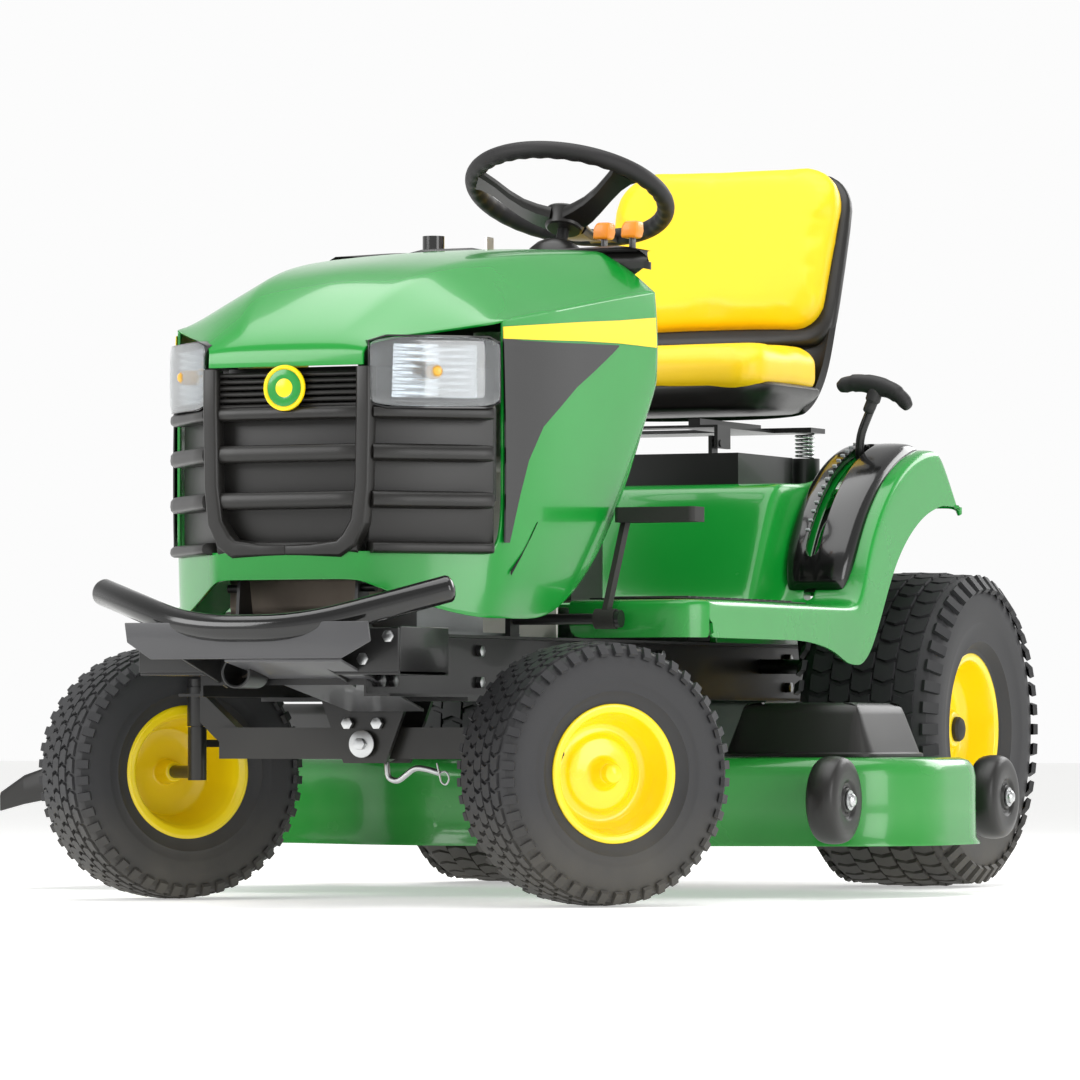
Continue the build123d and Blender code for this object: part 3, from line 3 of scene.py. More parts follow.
import bmesh
import bpy
from mathutils import Matrix, Vector


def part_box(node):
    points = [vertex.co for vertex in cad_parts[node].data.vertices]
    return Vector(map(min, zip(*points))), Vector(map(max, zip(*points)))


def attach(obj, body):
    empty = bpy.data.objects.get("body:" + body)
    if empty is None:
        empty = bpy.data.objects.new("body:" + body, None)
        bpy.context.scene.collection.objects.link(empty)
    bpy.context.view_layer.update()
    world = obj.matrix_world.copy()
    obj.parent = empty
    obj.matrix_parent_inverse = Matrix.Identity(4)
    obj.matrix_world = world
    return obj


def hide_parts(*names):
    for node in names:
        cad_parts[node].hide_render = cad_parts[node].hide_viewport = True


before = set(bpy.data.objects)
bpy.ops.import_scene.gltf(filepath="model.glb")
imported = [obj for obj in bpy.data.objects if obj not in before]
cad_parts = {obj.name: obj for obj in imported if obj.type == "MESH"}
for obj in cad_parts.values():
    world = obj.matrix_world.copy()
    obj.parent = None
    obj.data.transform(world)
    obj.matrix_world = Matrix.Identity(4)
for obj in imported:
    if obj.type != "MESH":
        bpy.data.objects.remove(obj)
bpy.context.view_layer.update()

# The camera stands low in front of the machine's left front wheel, with a long lens. The machine's own
# axes have their zero on the ground, midway between the axles: at() turns its millimetres to the frame.
front_low, front_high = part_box("front_axle")
rear_low, rear_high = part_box("rear_axle_left")
MIDDLE_X = (front_low.x + front_high.x) / 2
FRONT_AXLE = (front_low.y + front_high.y) / 2
REAR_AXLE = (rear_low.y + rear_high.y) / 2
MIDDLE_Y = (FRONT_AXLE + REAR_AXLE) / 2


def at(x, y, z):
    """A point in the machine's own axes, in millimetres, as a point of the frame in metres."""
    return Vector((MIDDLE_X + x / 1000, MIDDLE_Y + y / 1000, z / 1000))


CAMERA_AZIMUTH = math.radians(24.58)
CAMERA_AWAY = 10000
CAMERA_HEIGHT = 249
CAMERA_PITCH = math.radians(1.71)
CAMERA_YAW = math.radians(0.136)
camera = bpy.data.objects.new("camera", bpy.data.cameras.new("camera"))
camera.data.lens = 214.7
camera.data.sensor_width = 36
camera.data.clip_end = 100
camera.location = at(CAMERA_AWAY * math.sin(CAMERA_AZIMUTH), -CAMERA_AWAY * math.cos(CAMERA_AZIMUTH),
                     CAMERA_HEIGHT)
camera.rotation_euler = (math.radians(90) + CAMERA_PITCH, 0, CAMERA_AZIMUTH + CAMERA_YAW)
bpy.context.collection.objects.link(camera)
bpy.context.scene.camera = camera
bpy.context.scene.view_settings.view_transform = "Standard"


# Studio: a seamless pale floor, a broad overhead softbox, a key from the camera's left, a fill from its
# right and a strip behind, all large so that the paint shows long soft highlights.
def linear(colour):
    """An sRGB hex colour as linear red, green, blue and alpha."""
    parts = [int(colour[i:i + 2], 16) / 255 for i in (1, 3, 5)]
    return tuple(p / 12.92 if p <= 0.04045 else ((p + 0.055) / 1.055) ** 2.4 for p in parts) + (1.0,)


def add_node(tree, kind, settings=None, links=None):
    """Adds one node, sets its properties or input values, and links its inputs."""
    node = tree.nodes.new(kind)
    for name, value in (settings or {}).items():
        if isinstance(name, str) and name in node.bl_rna.properties:
            setattr(node, name, value)
        else:
            node.inputs[name].default_value = value
    for name, source in (links or {}).items():
        tree.links.new(source, node.inputs[name])
    return node


def softbox(name, place, target, size, watts):
    """A rectangular area light that looks at a point."""
    light = bpy.data.objects.new(name, bpy.data.lights.new(name, "AREA"))
    light.data.shape = "RECTANGLE"
    light.data.size, light.data.size_y = size
    light.data.energy = watts
    light.location = place
    light.rotation_euler = (target - place).to_track_quat("-Z", "Y").to_euler()
    bpy.context.collection.objects.link(light)


aim = at(0, 0, 500)
softbox("softbox_top", at(0, -200, 3600), aim, (3.6, 3.6), 105)
softbox("softbox_key", at(-2600, -3600, 2300), aim, (2.4, 2.0), 80)
softbox("softbox_fill", at(4200, -1600, 1500), aim, (2.0, 2.4), 60)
softbox("softbox_back", at(1500, 4200, 2500), aim, (3.4, 1.6), 70)
world = bpy.data.worlds.new("studio")
bpy.context.scene.world = world
world.use_nodes = True
backdrop = world.node_tree.nodes["Background"]
backdrop.inputs["Color"].default_value = linear("#FCFCFC")
direction = add_node(world.node_tree, "ShaderNodeTexCoord").outputs["Generated"]
upwards = add_node(world.node_tree, "ShaderNodeSeparateXYZ", None, {"Vector": direction}).outputs["Z"]
glow = add_node(world.node_tree, "ShaderNodeMapRange", {"From Min": 0.12, "From Max": 0.5, "To Min": 1.0,
                                                        "To Max": 0.5},
                {"Value": upwards}).outputs["Result"]
world.node_tree.links.new(glow, backdrop.inputs["Strength"])

floor_mesh = bpy.data.meshes.new("studio_floor")
FLOOR_HALF = 40.0
floor_mesh.from_pydata([(-FLOOR_HALF, -FLOOR_HALF, 0), (FLOOR_HALF, -FLOOR_HALF, 0),
                        (FLOOR_HALF, FLOOR_HALF, 0),
                        (-FLOOR_HALF, FLOOR_HALF, 0)], [], [(0, 1, 2, 3)])
floor = bpy.data.objects.new("studio_floor", floor_mesh)
bpy.context.collection.objects.link(floor)
floor_paint = bpy.data.materials.new("matt_floor_paint")
floor_paint.use_nodes = True
floor_paint.node_tree.nodes["Principled BSDF"].inputs["Base Color"].default_value = linear("#F1F1EF")
floor_paint.node_tree.nodes["Principled BSDF"].inputs["Roughness"].default_value = 0.85
floor_paint.node_tree.nodes["Principled BSDF"].inputs["Emission Color"].default_value = linear("#FFFFFF")
floor_paint.node_tree.nodes["Principled BSDF"].inputs["Emission Strength"].default_value = 0.4
floor_mesh.materials.append(floor_paint)


# Hood: one large moulding in glossy green plastic. It has a raised panel along the middle of its top, a
# crease to each shoulder, and an opening in front for the grille and lamps. It tips forwards.
def finish(name, base, tint, roughness, patch_mm=160, grain_mm=3, bump_mm=0.15, metallic=0.0, coat=0.0,
           ior=1.46,
           dust=0.0, dust_top_mm=0):
    """A surface with slow colour patches, a fine grain in its bump and roughness, and dust low down."""
    material = bpy.data.materials.new(name)
    material.use_nodes = True
    tree = material.node_tree
    shader = tree.nodes["Principled BSDF"]
    where = add_node(tree, "ShaderNodeTexCoord").outputs["Object"]
    patches = add_node(tree, "ShaderNodeTexNoise", {"Scale": 1000 / patch_mm, "Detail": 4.0}, {"Vector": where})
    grain = add_node(tree, "ShaderNodeTexNoise", {"Scale": 1000 / grain_mm, "Detail": 2.0}, {"Vector": where})
    mix = add_node(tree, "ShaderNodeMix", {"data_type": "RGBA"}, {0: patches.outputs["Fac"]})
    mix.inputs[6].default_value = linear(base)
    mix.inputs[7].default_value = linear(tint)
    colour = mix.outputs[2]
    if dust:
        height = add_node(tree, "ShaderNodeSeparateXYZ", None, {"Vector": where})
        fade = add_node(tree, "ShaderNodeMapRange", {"From Min": 0.0, "From Max": dust_top_mm / 1000,
                                                     "To Min": dust, "To Max": 0.0},
                        {"Value": height.outputs["Z"]})
        share = add_node(tree, "ShaderNodeMath", {"operation": "MULTIPLY"},
                         {0: fade.outputs["Result"], 1: patches.outputs["Fac"]})
        dusty = add_node(tree, "ShaderNodeMix", {"data_type": "RGBA"}, {0: share.outputs[0], 6: colour})
        dusty.inputs[7].default_value = linear("#8C8573")
        colour = dusty.outputs[2]
    tree.links.new(colour, shader.inputs["Base Color"])
    rough = add_node(tree, "ShaderNodeMapRange", {"To Min": max(roughness - 0.06, 0.02),
                                                  "To Max": roughness + 0.06},
                     {"Value": patches.outputs["Fac"]})
    tree.links.new(rough.outputs["Result"], shader.inputs["Roughness"])
    bump = add_node(tree, "ShaderNodeBump", {"Strength": 0.5, "Distance": bump_mm / 1000},
                    {"Height": grain.outputs["Fac"]})
    tree.links.new(bump.outputs["Normal"], shader.inputs["Normal"])
    shader.inputs["Metallic"].default_value = metallic
    if not metallic:
        shader.inputs["IOR"].default_value = ior
    shader.inputs["Coat Weight"].default_value = coat
    shader.inputs["Coat Roughness"].default_value = 0.06
    return material


# Injection moulded and clear coated: long clean highlights over a faint orange peel.
green_gloss = finish("gloss_green_moulding", "#0B8A2A", "#119634", 0.24, grain_mm=6, bump_mm=0.05, coat=0.5)


def piece(name, vertices, faces, material, body, node=None):
    """A mesh piece from points in machine millimetres, riding on a body."""
    mesh = bpy.data.meshes.new(name)
    mesh.from_pydata([at(*v) for v in vertices], [], faces)
    return settle(name, mesh, material, body, node)


def settle(name, mesh, material, body, node=None):
    """Puts a finished mesh in the scene: material, the body it rides and what it replaces."""
    obj = bpy.data.objects.new(name, mesh)
    bpy.context.collection.objects.link(obj)
    mesh.materials.clear()
    mesh.materials.append(material)
    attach(obj, body)
    if node:
        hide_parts(*([node] if isinstance(node, str) else node))
    return obj


def baked(obj):
    """The object's modifiers turned into its plain mesh."""
    bpy.context.view_layer.update()
    graph = bpy.context.evaluated_depsgraph_get()
    mesh = bpy.data.meshes.new_from_object(obj.evaluated_get(graph))
    obj.modifiers.clear()
    obj.data = mesh
    return obj


def smooth(obj, angle=35):
    """Shades smooth, but keeps edges sharper than the angle crisp."""
    mesh = obj.data
    mesh.polygons.foreach_set("use_smooth", [True] * len(mesh.polygons))
    mesh.set_sharp_from_angle(angle=math.radians(angle))
    return obj


def outward(mesh, merge_mm=0.05):
    """Merges double points and turns every face outwards."""
    work = bmesh.new()
    work.from_mesh(mesh)
    bmesh.ops.remove_doubles(work, verts=work.verts, dist=merge_mm / 1000)
    bmesh.ops.recalc_face_normals(work, faces=work.faces)
    work.to_mesh(mesh)
    work.free()


HOOD_FRONT = -920
HOOD_WALL = 4
# From front to rear: y, then height at the middle, and x and height of crease, slope and shoulder.
HOOD_ROWS = [
    (-920, 809, 80, 809, 104, 808, 123, 806),
    (-845, 868, 103, 861, 158, 839, 192, 818),
    (-755, 922, 122, 909, 205, 870, 263, 838),
    (-620, 948, 143, 937, 222, 889, 276, 858),
    (-450, 970, 168, 959, 236, 922, 284, 884),
    (-275, 985, 198, 972, 246, 946, 290, 907),
]


class Grid:
    """Quads laid row by row between lists of points, gathered into one mesh."""

    def __init__(self):
        self.points, self.faces = [], []

    def add(self, rows):
        start, wide = len(self.points), len(rows[0])
        for row in rows:
            self.points += row
        for i in range(len(rows) - 1):
            for j in range(wide - 1):
                a = start + i * wide + j
                self.faces.append((a, a + 1, a + wide + 1, a + wide))


def both(rows):
    """The same rows on the machine's other side."""
    return [[(-x, y, z) for x, y, z in row] for row in rows]


hood = Grid()
top_rows = []
for y, z0, x1, z1, x2, z2, x3, z3 in HOOD_ROWS:
    half = [(x1, y, z1), (x2, y, z2), (x3, y, z3)]
    top_rows.append([(-x, yy, z) for x, yy, z in reversed(half)] + [(0, y, z0)] + half)
hood.add(top_rows)
SIDE_EDGE = [(-755, 412), (-690, 412), (-620, 414), (-530, 452), (-437, 523), (-350, 628), (-275, 746)]


def side_x(y):
    """Half width of the hood at the side."""
    return 263 + 13 * min(1, (y + 755) / 135) + 14 * max(0, (y + 620) / 345)


def shoulder_z(y):
    """Height of the hood's shoulder line."""
    for (y0, *_, z0), (y1, *_, z1) in zip(HOOD_ROWS, HOOD_ROWS[1:]):
        if y0 <= y <= y1:
            return z0 + (z1 - z0) * (y - y0) / (y1 - y0)
    return HOOD_ROWS[-1][-1]


side_rows = []
SIDE_STEPS = (0.0, 0.11, 0.22, 0.5, 0.78, 0.94, 1.0)
for step in SIDE_STEPS:
    row = []
    for y, z_low in SIDE_EDGE:
        z = z_low + (shoulder_z(y) - z_low) * step
        bulge = 5 * math.sin(math.pi * min(1, max(0, step)))
        row.append((side_x(y) + (bulge if y > -750 else 0) - (6 if step == 0 else 0), y, z))
    side_rows.append(row)
hood.add(side_rows)
hood.add(both(side_rows))
front_path = [(0, -923), (70, -922), (112, -918), (128, -906), (192, -842), (240, -792), (263, -755)]
band_rows = []
for z_share in (0.22, 0.11, 0.0):
    row = []
    for x, y in front_path:
        far = max(0, (x - 112) / (263 - 112))
        low = 466 - (466 - 412) * min(1, far * 1.4)
        top = 412 + (shoulder_z(-755) - 412) * 0.22
        z = low + (top - low) * z_share / 0.22
        row.append((x - (6 if z_share == 0 and x == 263 else 0), y, z))
    band_rows.append(row)
full_band = [[(-x, y, z) for x, y, z in reversed(row[1:])] + row for row in band_rows]
hood.add(full_band)
GRILLE_TOP = 770
lip = [(x, HOOD_FRONT, z) for x, _, z in top_rows[0]]
hood.add([lip, [(x, HOOD_FRONT - 4, GRILLE_TOP + 10) for x, _, _ in lip],
          [(x, HOOD_FRONT - 4, GRILLE_TOP) for x, _, _ in lip]])
hood_obj = piece("hood_moulding", hood.points, hood.faces, green_gloss, "hood", "hood_shell")
outward(hood_obj.data, 0.5)
work = bmesh.new()
work.from_mesh(hood_obj.data)
crease = work.edges.layers.float.new("crease_edge")
for edge in work.edges:
    a, b = [v.co for v in edge.verts]
    ends = []
    for p in (a, b):
        x, y, z = (p.x - MIDDLE_X) * 1000, (p.y - MIDDLE_Y) * 1000, p.z * 1000
        ends.append((abs(x), y, z))
    on_crease = all(any(abs(e[0] - r[2]) < 1 and abs(e[1] - r[0]) < 1 for r in HOOD_ROWS) for e in ends)
    on_shoulder = all(abs(e[2] - shoulder_z(e[1])) < 1.5 and e[0] > 120 for e in ends)
    if on_crease:
        edge[crease] = 0.62
    elif on_shoulder:
        edge[crease] = 0.45
    elif edge.is_boundary:
        edge[crease] = 0.8
work.to_mesh(hood_obj.data)
work.free()
level = hood_obj.modifiers.new("curve", "SUBSURF")
level.levels = level.render_levels = 3
wall = hood_obj.modifiers.new("wall", "SOLIDIFY")
wall.thickness = HOOD_WALL / 1000
wall.offset = -1
edge_round = hood_obj.modifiers.new("edge", "BEVEL")
edge_round.width = 0.0012
edge_round.segments = 2
edge_round.limit_method = "ANGLE"
edge_round.angle_limit = math.radians(50)
smooth(baked(hood_obj), 40)


# Tyres: black rubber turf tyres on steel rims. A moulded casing with rings on its side walls carries rows of
# raised lugs, staggered from row to row, with a comb of shoulder bars down each edge.
tyre_rubber = finish("cured_tyre_rubber", "#232325", "#2E2E30", 0.62, patch_mm=90, grain_mm=2, bump_mm=0.25,
                     ior=1.52, dust=0.35, dust_top_mm=160)


def lathe(name, profile, turns, placing, material, body, node=None):
    """A profile of (along the axle, radius) in millimetres, spun about the axle and set in place."""
    work = bmesh.new()
    rings = []
    for step in range(turns):
        angle = 2 * math.pi * step / turns
        rings.append([work.verts.new(placing @ Vector((u / 1000, r / 1000 * math.cos(angle),
                                                       r / 1000 * math.sin(angle))))
                      for u, r in profile])
    for step in range(turns):
        a, b = rings[step], rings[(step + 1) % turns]
        for j in range(len(profile) - 1):
            work.faces.new((a[j], a[j + 1], b[j + 1], b[j]))
    mesh = bpy.data.meshes.new(name)
    work.to_mesh(mesh)
    work.free()
    outward(mesh)
    return smooth(settle(name, mesh, material, body, node), 32)


def rounded(points, radius, steps=4):
    """A closed or open profile with its inner corners rounded off."""
    out = [points[0]]
    for before, corner, after in zip(points, points[1:], points[2:]):
        p, c, n = Vector(before), Vector(corner), Vector(after)
        cut = min(radius, (p - c).length * 0.45, (n - c).length * 0.45)
        a, b = c + (p - c).normalized() * cut, c + (n - c).normalized() * cut
        for i in range(steps + 1):
            t = i / steps
            out.append(tuple(a.lerp(c, t).lerp(c.lerp(b, t), t)))
    return out + [points[-1]]


def lug(size_u, size_v, height, skew):
    """One tread lug, tapering to its top, bent like a shallow arrow."""
    points, faces = [], []
    for level, shrink in ((-0.4, 1.0), (1.0, 0.93)):
        for u, bend in ((-0.5, 1), (0, 0), (0.5, 1)):
            for v in (-0.5, 0.5):
                points.append((u * size_u * shrink, v * size_v * shrink + bend * skew, level * height))
    for i in (0, 2):
        faces += [(6 + i, 8 + i, 9 + i, 7 + i), (i, i + 2, 8 + i, 6 + i), (i + 3, i + 1, 7 + i, 9 + i)]
    faces += [(0, 6, 7, 1), (4, 5, 11, 10)]
    mesh = bpy.data.meshes.new("lug")
    mesh.from_pydata([(a / 1000, b / 1000, c / 1000) for a, b, c in points], [], faces)
    return bpy.data.objects.new("lug", mesh)


def tread_tree(lug_obj, material):
    """Geometry Nodes: rows of lugs round a tyre, each row turned half a pitch from the last."""
    tree = bpy.data.node_groups.new("tread", "GeometryNodeTree")
    inputs = {}
    for name, kind in (("Around", "NodeSocketInt"), ("Rows", "NodeSocketInt"), ("Pitch", "NodeSocketFloat"),
                       ("Radius", "NodeSocketFloat"), ("Crown", "NodeSocketFloat")):
        inputs[name] = tree.interface.new_socket(name, in_out="INPUT", socket_type=kind)
    tree.interface.new_socket("Geometry", in_out="OUTPUT", socket_type="NodeSocketGeometry")
    given = add_node(tree, "NodeGroupInput").outputs
    math_node = "ShaderNodeMath"
    total = add_node(tree, math_node, {"operation": "MULTIPLY"},
                     {0: given["Around"], 1: given["Rows"]}).outputs[0]
    line = add_node(tree, "GeometryNodeMeshLine", None, {"Count": total}).outputs["Mesh"]
    index = add_node(tree, "GeometryNodeInputIndex").outputs[0]
    share = add_node(tree, math_node, {"operation": "DIVIDE"}, {0: index, 1: given["Around"]}).outputs[0]
    row = add_node(tree, math_node, {"operation": "FLOOR"}, {0: share}).outputs[0]
    odd = add_node(tree, math_node, {"operation": "MODULO", 1: 2.0}, {0: row}).outputs[0]
    half = add_node(tree, math_node, {"operation": "MULTIPLY", 1: 0.5}, {0: odd}).outputs[0]
    offset = add_node(tree, math_node, {"operation": "DIVIDE"}, {0: half, 1: given["Around"]}).outputs[0]
    turn = add_node(tree, math_node, {"operation": "ADD"}, {0: share, 1: offset}).outputs[0]
    angle = add_node(tree, math_node, {"operation": "MULTIPLY", 1: 2 * math.pi}, {0: turn}).outputs[0]
    last = add_node(tree, math_node, {"operation": "SUBTRACT", 1: 1.0}, {0: given["Rows"]}).outputs[0]
    middle = add_node(tree, math_node, {"operation": "MULTIPLY", 1: 0.5}, {0: last}).outputs[0]
    across = add_node(tree, math_node, {"operation": "SUBTRACT"}, {0: row, 1: middle}).outputs[0]
    u = add_node(tree, math_node, {"operation": "MULTIPLY"}, {0: across, 1: given["Pitch"]}).outputs[0]
    squared = add_node(tree, math_node, {"operation": "MULTIPLY"}, {0: u, 1: u}).outputs[0]
    drop = add_node(tree, math_node, {"operation": "MULTIPLY"}, {0: squared, 1: given["Crown"]}).outputs[0]
    radius = add_node(tree, math_node, {"operation": "SUBTRACT"}, {0: given["Radius"], 1: drop}).outputs[0]
    sine = add_node(tree, math_node, {"operation": "SINE"}, {0: angle}).outputs[0]
    cosine = add_node(tree, math_node, {"operation": "COSINE"}, {0: angle}).outputs[0]
    y = add_node(tree, math_node, {"operation": "MULTIPLY"}, {0: sine, 1: radius}).outputs[0]
    z = add_node(tree, math_node, {"operation": "MULTIPLY"}, {0: cosine, 1: radius}).outputs[0]
    spot = add_node(tree, "ShaderNodeCombineXYZ", None, {0: u, 1: y, 2: z}).outputs[0]
    placed = add_node(tree, "GeometryNodeSetPosition", None, {"Geometry": line, "Position": spot}).outputs[0]
    back = add_node(tree, math_node, {"operation": "MULTIPLY", 1: -1.0}, {0: angle}).outputs[0]
    spin = add_node(tree, "ShaderNodeCombineXYZ", None, {0: back}).outputs[0]
    shape = add_node(tree, "GeometryNodeObjectInfo", {"Object": lug_obj}).outputs["Geometry"]
    copies = add_node(tree, "GeometryNodeInstanceOnPoints", None,
                      {"Points": placed, "Instance": shape, "Rotation": spin}).outputs[0]
    real = add_node(tree, "GeometryNodeRealizeInstances", None, {"Geometry": copies}).outputs[0]
    painted = add_node(tree, "GeometryNodeSetMaterial", {"Material": material}, {"Geometry": real}).outputs[0]
    add_node(tree, "NodeGroupOutput", None, {"Geometry": painted})
    return tree, inputs


def lug_rows(name, shape, placing, body, **values):
    """One set of lug rows on one tyre."""
    tree, inputs = tread_tree(shape, tyre_rubber)
    mesh = bpy.data.meshes.new(name)
    obj = bpy.data.objects.new(name, mesh)
    bpy.context.collection.objects.link(obj)
    rows = obj.modifiers.new("tread", "NODES")
    rows.node_group = tree
    for key, value in values.items():
        rows[inputs[key.capitalize()].identifier] = value
    baked(obj)
    obj.data.transform(placing)
    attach(obj, body)
    return obj


def tyre(name, placing, body, radius, width, rim_r, node, around, pitch):
    """A casing with side wall rings, and the lugs on it."""
    half = width / 2
    lug_h = radius * 0.024
    base = radius - lug_h - 1
    wall = [(0.375, rim_r + 1), (0.40, rim_r + 9), (0.405, rim_r + 14), (0.452, rim_r + 24),
            (0.462, rim_r + 26),
            (0.458, rim_r + 30), (0.48, rim_r + (base - rim_r) * 0.42), (0.488, rim_r + (base - rim_r) * 0.47),
            (0.486, rim_r + (base - rim_r) * 0.53), (0.494, rim_r + (base - rim_r) * 0.6),
            (0.478, rim_r + (base - rim_r) * 0.8), (0.45, base - width * 0.045), (0.40, base - width * 0.012),
            (0.25, base - 1), (0, base)]
    outer = [(u * width, r) for u, r in wall]
    profile = outer + [(-u, r) for u, r in reversed(outer[:-1])]
    inner = [(-half * 0.72, rim_r + 1), (-half * 0.9, (rim_r + base) / 2), (-half * 0.7, base - 10),
             (half * 0.7, base - 10), (half * 0.9, (rim_r + base) / 2), (half * 0.72, rim_r + 1)]
    casing = lathe(name, profile + inner + [profile[0]], 96, placing, tyre_rubber, body, node)
    block = lug(pitch * 0.97, 2 * math.pi * radius / around * 0.8, lug_h, 2 * math.pi * radius / around * 0.16)
    lug_rows(name + "_lugs", block, placing, body, around=around, rows=5, pitch=pitch / 1000,
             radius=base / 1000,
             crown=0.9 / width * 1000 * 0.22)
    bar_u = half * 0.93
    bar = lug(width * 0.13, 2 * math.pi * radius / around * 0.5, lug_h * 0.9, 0)
    for side in (-1, 1):
        lean = Matrix.Rotation(side * math.radians(52), 4, "Y")
        shoulder = bar.copy()
        shoulder.data = bar.data.copy()
        shoulder.data.transform(Matrix.Translation((side * bar_u / 1000, 0, 0)) @ lean)
        lug_rows(f"{name}_shoulder_{'left' if side > 0 else 'right'}", shoulder, placing, body, around=around,
                 rows=1,
                 pitch=0.0, radius=(base - width * 0.055) / 1000, crown=0.0)
    return casing


def wheel_middle(node):
    """The middle of a wheel, from its CAD tyre."""
    low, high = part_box(node)
    return (low + high) / 2


STEER_REST = math.radians(-37)
WHEELS = {}
for side in ("left", "right"):
    out = 1 if side == "left" else -1
    face = Matrix.Rotation(0 if out > 0 else math.pi, 4, "Z")
    front = Matrix.Translation(wheel_middle(f"front_tyre_{side}")) @ Matrix.Rotation(STEER_REST, 4, "Z") @ face
    rear = Matrix.Translation(wheel_middle(f"rear_tyre_{side}")) @ face
    WHEELS[side] = (front, rear)
    tyre(f"front_turf_tyre_{side}", front, f"front_wheel_{side}", 190, 150, 92, f"front_tyre_{side}", 46, 22)
    tyre(f"rear_turf_tyre_{side}", rear, f"rear_wheel_{side}", 254, 240, 115, f"rear_tyre_{side}", 44, 36)


# Rims: pressed steel in glossy yellow. A rolled edge holds the tyre's bead, the dish steps in to a flat face
# with a raised ring, and a coned hub carries the axle's end cap. Valve stems are black rubber.
rim_yellow = finish("gloss_yellow_enamel", "#F5D800", "#FFE21A", 0.26, grain_mm=5, bump_mm=0.05, coat=0.4,
                    ior=1.5,
                    dust=0.12, dust_top_mm=200)
black_rubber = finish("moulded_black_rubber", "#191919", "#232323", 0.6, grain_mm=1.5, bump_mm=0.1, ior=1.52)
zinc = finish("zinc_plated_steel", "#B9BBBD", "#D2D3D2", 0.32, patch_mm=30, grain_mm=1, bump_mm=0.04,
              metallic=1.0)


def rim(name, placing, body, node, rim_r, half_w, dish_u, hub_r):
    """The rim's whole skin as one closed turned profile."""
    front = [(half_w + 3, rim_r + 7.5), (half_w + 7, rim_r + 8), (half_w + 8.5, rim_r + 3),
             (half_w + 6, rim_r - 5),
             (half_w - 6, rim_r - 8), (dish_u + 6, rim_r - 13), (dish_u - 6, rim_r - 20),
             (dish_u - 9, rim_r - 26),
             (dish_u - 7, rim_r * 0.62), (dish_u - 1, rim_r * 0.56), (dish_u + 1, rim_r * 0.46),
             (dish_u + 3, hub_r + 8), (dish_u + 9, hub_r + 3), (dish_u + 22, hub_r - 1),
             (dish_u + 24, hub_r - 4),
             (dish_u + 24, 2)]
    back = [(dish_u - 40, 2), (dish_u - 40, hub_r - 2), (dish_u - 8, hub_r + 2), (dish_u - 10, rim_r * 0.5),
            (dish_u - 13, rim_r - 27), (-half_w + 8, rim_r - 12), (-half_w - 4, rim_r - 7),
            (-half_w - 7, rim_r + 3),
            (-half_w - 5, rim_r + 7.5), (-half_w - 3, rim_r + 7), (-half_w - 1, rim_r - 1),
            (half_w + 1, rim_r - 1)]
    path = rounded(front, 3) + rounded(back, 3)
    return lathe(name, path + [path[0]], 96, placing, rim_yellow, body, node)


def axle_cap(name, placing, body, u, radius, material):
    """A domed cap on the hub."""
    dome = [(u - 3, radius), (u + 4, radius), (u + 8, radius * 0.86), (u + 11, radius * 0.5), (u + 12, 0.3),
            (u - 3, 0.3), (u - 3, radius)]
    return lathe(name, dome, 32, placing, material, body, None)


for side in ("left", "right"):
    front, rear = WHEELS[side]
    rim(f"front_rim_pressing_{side}", front, f"front_wheel_{side}", f"front_rim_{side}", 92, 55, 26, 17)
    rim(f"rear_rim_pressing_{side}", rear, f"rear_wheel_{side}", f"rear_rim_{side}", 115, 88, 44, 30)
    cap = axle_cap(f"front_hub_cap_{side}", front, f"front_wheel_{side}", 52, 15, rim_yellow)
    nut = axle_cap(f"rear_hub_cap_{side}", rear, f"rear_wheel_{side}", 70, 20, black_rubber)
    for name, placing, body, reach, u in (("front", front, f"front_wheel_{side}", 62, 22),
                                          ("rear", rear, f"rear_wheel_{side}", 82, 42)):
        lean = placing @ Matrix.Rotation(math.radians(70), 4, "X") @ Matrix.Translation((0, 0, reach / 1000)) \
            @ Matrix.Rotation(math.radians(-24), 4, "Y")
        stem = [(u - 9, 5.5), (u + 2, 5.2), (u + 6, 3.8), (u + 20, 3.4), (u + 21, 4.4), (u + 30, 4.4),
                (u + 31, 3.4),
                (u + 31, 0.2), (u - 9, 0.2), (u - 9, 5.5)]
        valve = lathe(f"{name}_valve_stem_{side}", stem, 20, lean, black_rubber, body)


# Grille: one moulded black frame. Two posts and a rounded bottom rail hold three deep cross bars, with fine
# ribs above them, and the same bars wrap round both corners under the lamps.
black_moulding = finish("satin_black_moulding", "#161514", "#201F1D", 0.38, grain_mm=1.6, bump_mm=0.12,
                        ior=1.49)
black_gloss = finish("gloss_black_moulding", "#0D0D0D", "#151515", 0.16, grain_mm=4, bump_mm=0.04, coat=0.4)
LAMP_LOW = 708
LAMP_HIGH = 812
BAR_HEIGHTS = (512, 580, 647, 704)
CORNER = [(128, -914), (258, -775)]


def bar_section(z, tall, proud, deep):
    """Side outline of a cross bar: a rounded nose that leans down and a thin root behind."""
    return [(proud, z - tall * 0.1), (proud * 0.9, z + tall * 0.22), (proud * 0.3, z + tall * 0.44),
            (-deep, z + tall * 0.5),
            (-deep, z - tall * 0.5), (proud * 0.2, z - tall * 0.5), (proud * 0.85, z - tall * 0.34)]


